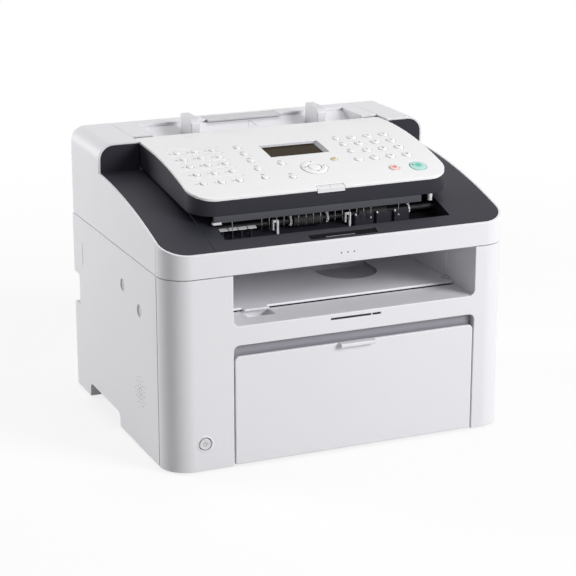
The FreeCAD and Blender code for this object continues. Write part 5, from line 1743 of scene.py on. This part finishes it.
    def build_printing(self) -> None:
        """Numbers beside the one-touch keys and short bars behind the other small keys."""
        numbers = []
        for i in range(self.row_count * self.touch_columns):
            setback = self.row(i // self.touch_columns)
            place = KEY_PLATE.at(self.touch_x(i) - self.number_gap, setback, self.number_lift)
            numbers.append(placed(lettering(f"{i + 1:02d}", self.number_height), place))
        make_piece(gather(*numbers), "one_touch_numbers", INK, "panel_plate")
        spots = [(self.mode_x, self.row(i)) for i in range(self.row_count)]
        spots += [(self.side_x, self.row(i)) for i in range(self.side_small)]
        spots += [(key.x, key.setback) for key in self.plain_keys()]
        bars = []
        for x, setback in spots:
            bar = block(self.bar_x, about(0.0, self.bar_half), (0.0, self.bar_thick))
            bars.append(placed(bar, KEY_PLATE.at(x, setback + self.bar_rise)))
        make_piece(gather(*bars), "small_key_bars", INK, "panel_plate")


@dataclass
class DisplayWindow:
    """Bezel of the display, in a grey that paints the shade of the window's walls.

    Its mouth is inset by two lengths at the low and two at the high end of X and Y.
    """

    x: Span = (-30.0, 35.0)
    setback: Span = (112.0, 147.0)
    corner: float = 1.6
    lip: float = 0.4
    glass_depth: float = 2.6
    rim_sunk: float = 0.4
    bezel_skin: float = 0.25
    mouth_low: Span = (1.0, 0.5)
    mouth_high: Span = (3.6, 1.0)
    mouth_margin: float = 0.2

    def build(self) -> None:
        """Sloping frame round the display, grey as painted shade."""
        x, setback = self.x, self.setback
        half_x, half_y = (x[1] - x[0]) / 2, (setback[1] - setback[0]) / 2
        bezel = bmesh.new()
        bmesh.ops.create_grid(bezel, x_segments=1, y_segments=1, size=1.0,
                              matrix=Matrix.Diagonal((half_x, half_y, 1.0, 1.0)))
        bmesh.ops.bevel(bezel, geom=list(bezel.verts), offset=self.corner, segments=4, profile=0.5,
                        affect="VERTICES", material=-1)
        bmesh.ops.inset_individual(bezel, faces=bezel.faces[:], thickness=self.lip)
        reach_x, reach_y = half_x - self.mouth_margin, half_y - self.mouth_margin
        mouth = [v for v in bezel.verts if abs(v.co.x) < reach_x and abs(v.co.y) < reach_y]
        (left, front), (right, back) = self.mouth_low, self.mouth_high
        shares = 1 - (left + right) / (2 * half_x), 1 - (front + back) / (2 * half_y)
        shift = moved((left - right) / 2, (front - back) / 2, self.rim_sunk - self.glass_depth)
        bmesh.ops.transform(bezel, matrix=shift @ Matrix.Diagonal((*shares, 1.0, 1.0)), verts=mouth)
        opening = [f for f in bezel.faces if all(v in mouth for v in f.verts)]
        bmesh.ops.delete(bezel, geom=opening, context="FACES_ONLY")
        bmesh.ops.solidify(bezel, geom=list(bezel.faces), thickness=self.bezel_skin)
        bmesh.ops.recalc_face_normals(bezel, faces=bezel.faces)
        place = KEY_PLATE.at(sum(x) / 2, sum(setback) / 2) @ moved(z=-self.rim_sunk)
        # The bezel's grey is partly painted shade, so that the window looks deep.
        make_piece(placed(bezel, place), "display_bezel", BEZEL, "panel_plate")


@dataclass
class ReleaseTab:
    """Tab that lets the control panel swing up. Its slit and step are painted shade, a little under the
    plate's face.
    """

    x: float = 5.0
    setback: float = 45.0
    grip: float = 4.4
    height: Span = (-0.4, -0.27)
    slit_half: float = 0.2
    slit_y: Span = (-2.9, 1.65)
    step_half: float = 14.6
    step_y: Span = (1.7, 2.65)

    def build(self) -> None:
        """Frosted tab at the front edge with its slit and step in painted shade, and its dark apron over the
        base's notch.
        """
        middle = KEY_PLATE.at(self.x, self.setback)
        line = middle @ moved(z=-self.grip)
        grip = cut_off(round_edges(copy_of("release_tab"), THIN_EDGE), line, keeps_above=True)
        make_piece(grip, "release_tab_grip", FROST, "release_tab", "release_tab")
        apron = cut_off(round_edges(copy_of("release_tab"), THIN_EDGE), line, keeps_above=False)
        make_piece(apron, "release_tab_apron", DECK, "release_tab")
        # Slit and step are flat grey strips of painted shade, not cut into the tab.
        slit = block(about(0.0, self.slit_half), self.slit_y, self.height)
        make_piece(placed(slit, middle), "release_tab_slit", INK, "release_tab")
        step = block(about(0.0, self.step_half), self.step_y, self.height)
        make_piece(placed(step, middle), "release_tab_step", PALE_GREY_SHADE, "release_tab")


@dataclass
class SheetGuide:
    """Guide strip under the tub's front edge, with its foot, wires and peg."""

    strip_x: Span = (-120.0, 106.0)
    strip_height: Span = (239.3, 247.0)
    strip_setback: Span = (42.6, 46.4)
    foot_x: Span = (-121.0, -112.0)
    foot_height: Span = (237.7, 240.3)
    foot_proud: float = 0.3
    wire_setback: float = 45.0
    wire_first: float = -100.0
    wire_left: float = -68.7
    wire_pitch: float = 7.93
    wire_count: int = 16
    wire_last: float = 81.3
    wire_height: Span = (227.8, 242.3)
    wire_radius: float = 0.35
    bead_profile: tuple[Corner, ...] = ((0.0, 0.9), (0.65, 0.65), (0.9, 0.0), (0.65, -0.65), (0.0, -0.9))
    bead_x: Span = (50.25, 81.3)
    peg_x: float = 116.5
    peg_height: float = 239.0
    peg_profile: tuple[Corner, ...] = (
        (0.0, 8.5), (2.6, 8.5), (2.6, 3.2), (1.9, 2.8), (1.9, 2.0),
        (2.4, 1.6), (2.4, 0.6), (1.8, 0.0), (0.0, 0.0),
    )

    def build(self) -> None:
        """Strip under the tub's front edge with the thin wires that hold the sheets down, and a peg."""
        front, back = shifted(self.strip_setback, FRONT)
        strip = round_edges(block(self.strip_x, (front, back), self.strip_height), SMALL_EDGE)
        make_piece(strip, "sheet_guide_strip", SLATE, "panel_base")
        foot = round_edges(block(self.foot_x, (front - self.foot_proud, back), self.foot_height), SMALL_EDGE)
        make_piece(foot, "sheet_guide_foot", GUIDE, "panel_base")
        y, (low, high) = FRONT + self.wire_setback, self.wire_height
        row = [self.wire_left + self.wire_pitch * n for n in range(self.wire_count)]
        wires = [rod((x, y, low), (x, y, high), self.wire_radius, sides=10)
                 for x in (self.wire_first, *row, self.wire_last)]
        make_piece(gather(*wires), "sheet_wires", SHAFT, "panel_base")
        beads = [placed(lathe(self.bead_profile, steps=16), moved(x, y, low)) for x in self.bead_x]
        make_piece(gather(*beads), "sheet_wire_beads", GUIDE, "panel_base")
        peg = placed(lathe(self.peg_profile, steps=24), moved(self.peg_x, y, self.peg_height))
        make_piece(peg, "panel_peg", GUIDE, "panel_base")


@dataclass
class ControlPanel:
    """Tub, key plate and display, with the keys and fittings that they carry."""

    # Field of the plate that has openings for keys.
    field_setback: Span = (50.0, 165.0)
    field_half: float = 136.0
    opening_edge: float = 0.1

    def build(self) -> None:
        """Makes every piece of the control panel."""
        soften("panel_base", DECK, SOFT_EDGE)
        opening_rule = EdgeRule(self.opening_edge, steps=1, test=self.in_key_field)
        soften("panel_plate", PLATE, opening_rule, SMALL_EDGE)
        soften("display", CELL, FINE_EDGE)
        DisplayWindow().build()
        ReleaseTab().build()
        KeyField().build()
        SheetGuide().build()

    def in_key_field(self, spot: Vector) -> bool:
        """Whether an edge of the plate belongs to a key's opening."""
        front, back = self.field_setback
        return front < spot.y - FRONT < back and abs(spot.x) < self.field_half


def main() -> None:
    """Builds the object and its studio."""
    logging.basicConfig(level=logging.INFO, format="%(name)s: %(message)s")
    Studio().build()
    for assembly in (LowerBody(), InnerWorks(), UpperUnit(), ControlPanel()):
        assembly.build()


if __name__ == "__main__":
    main()
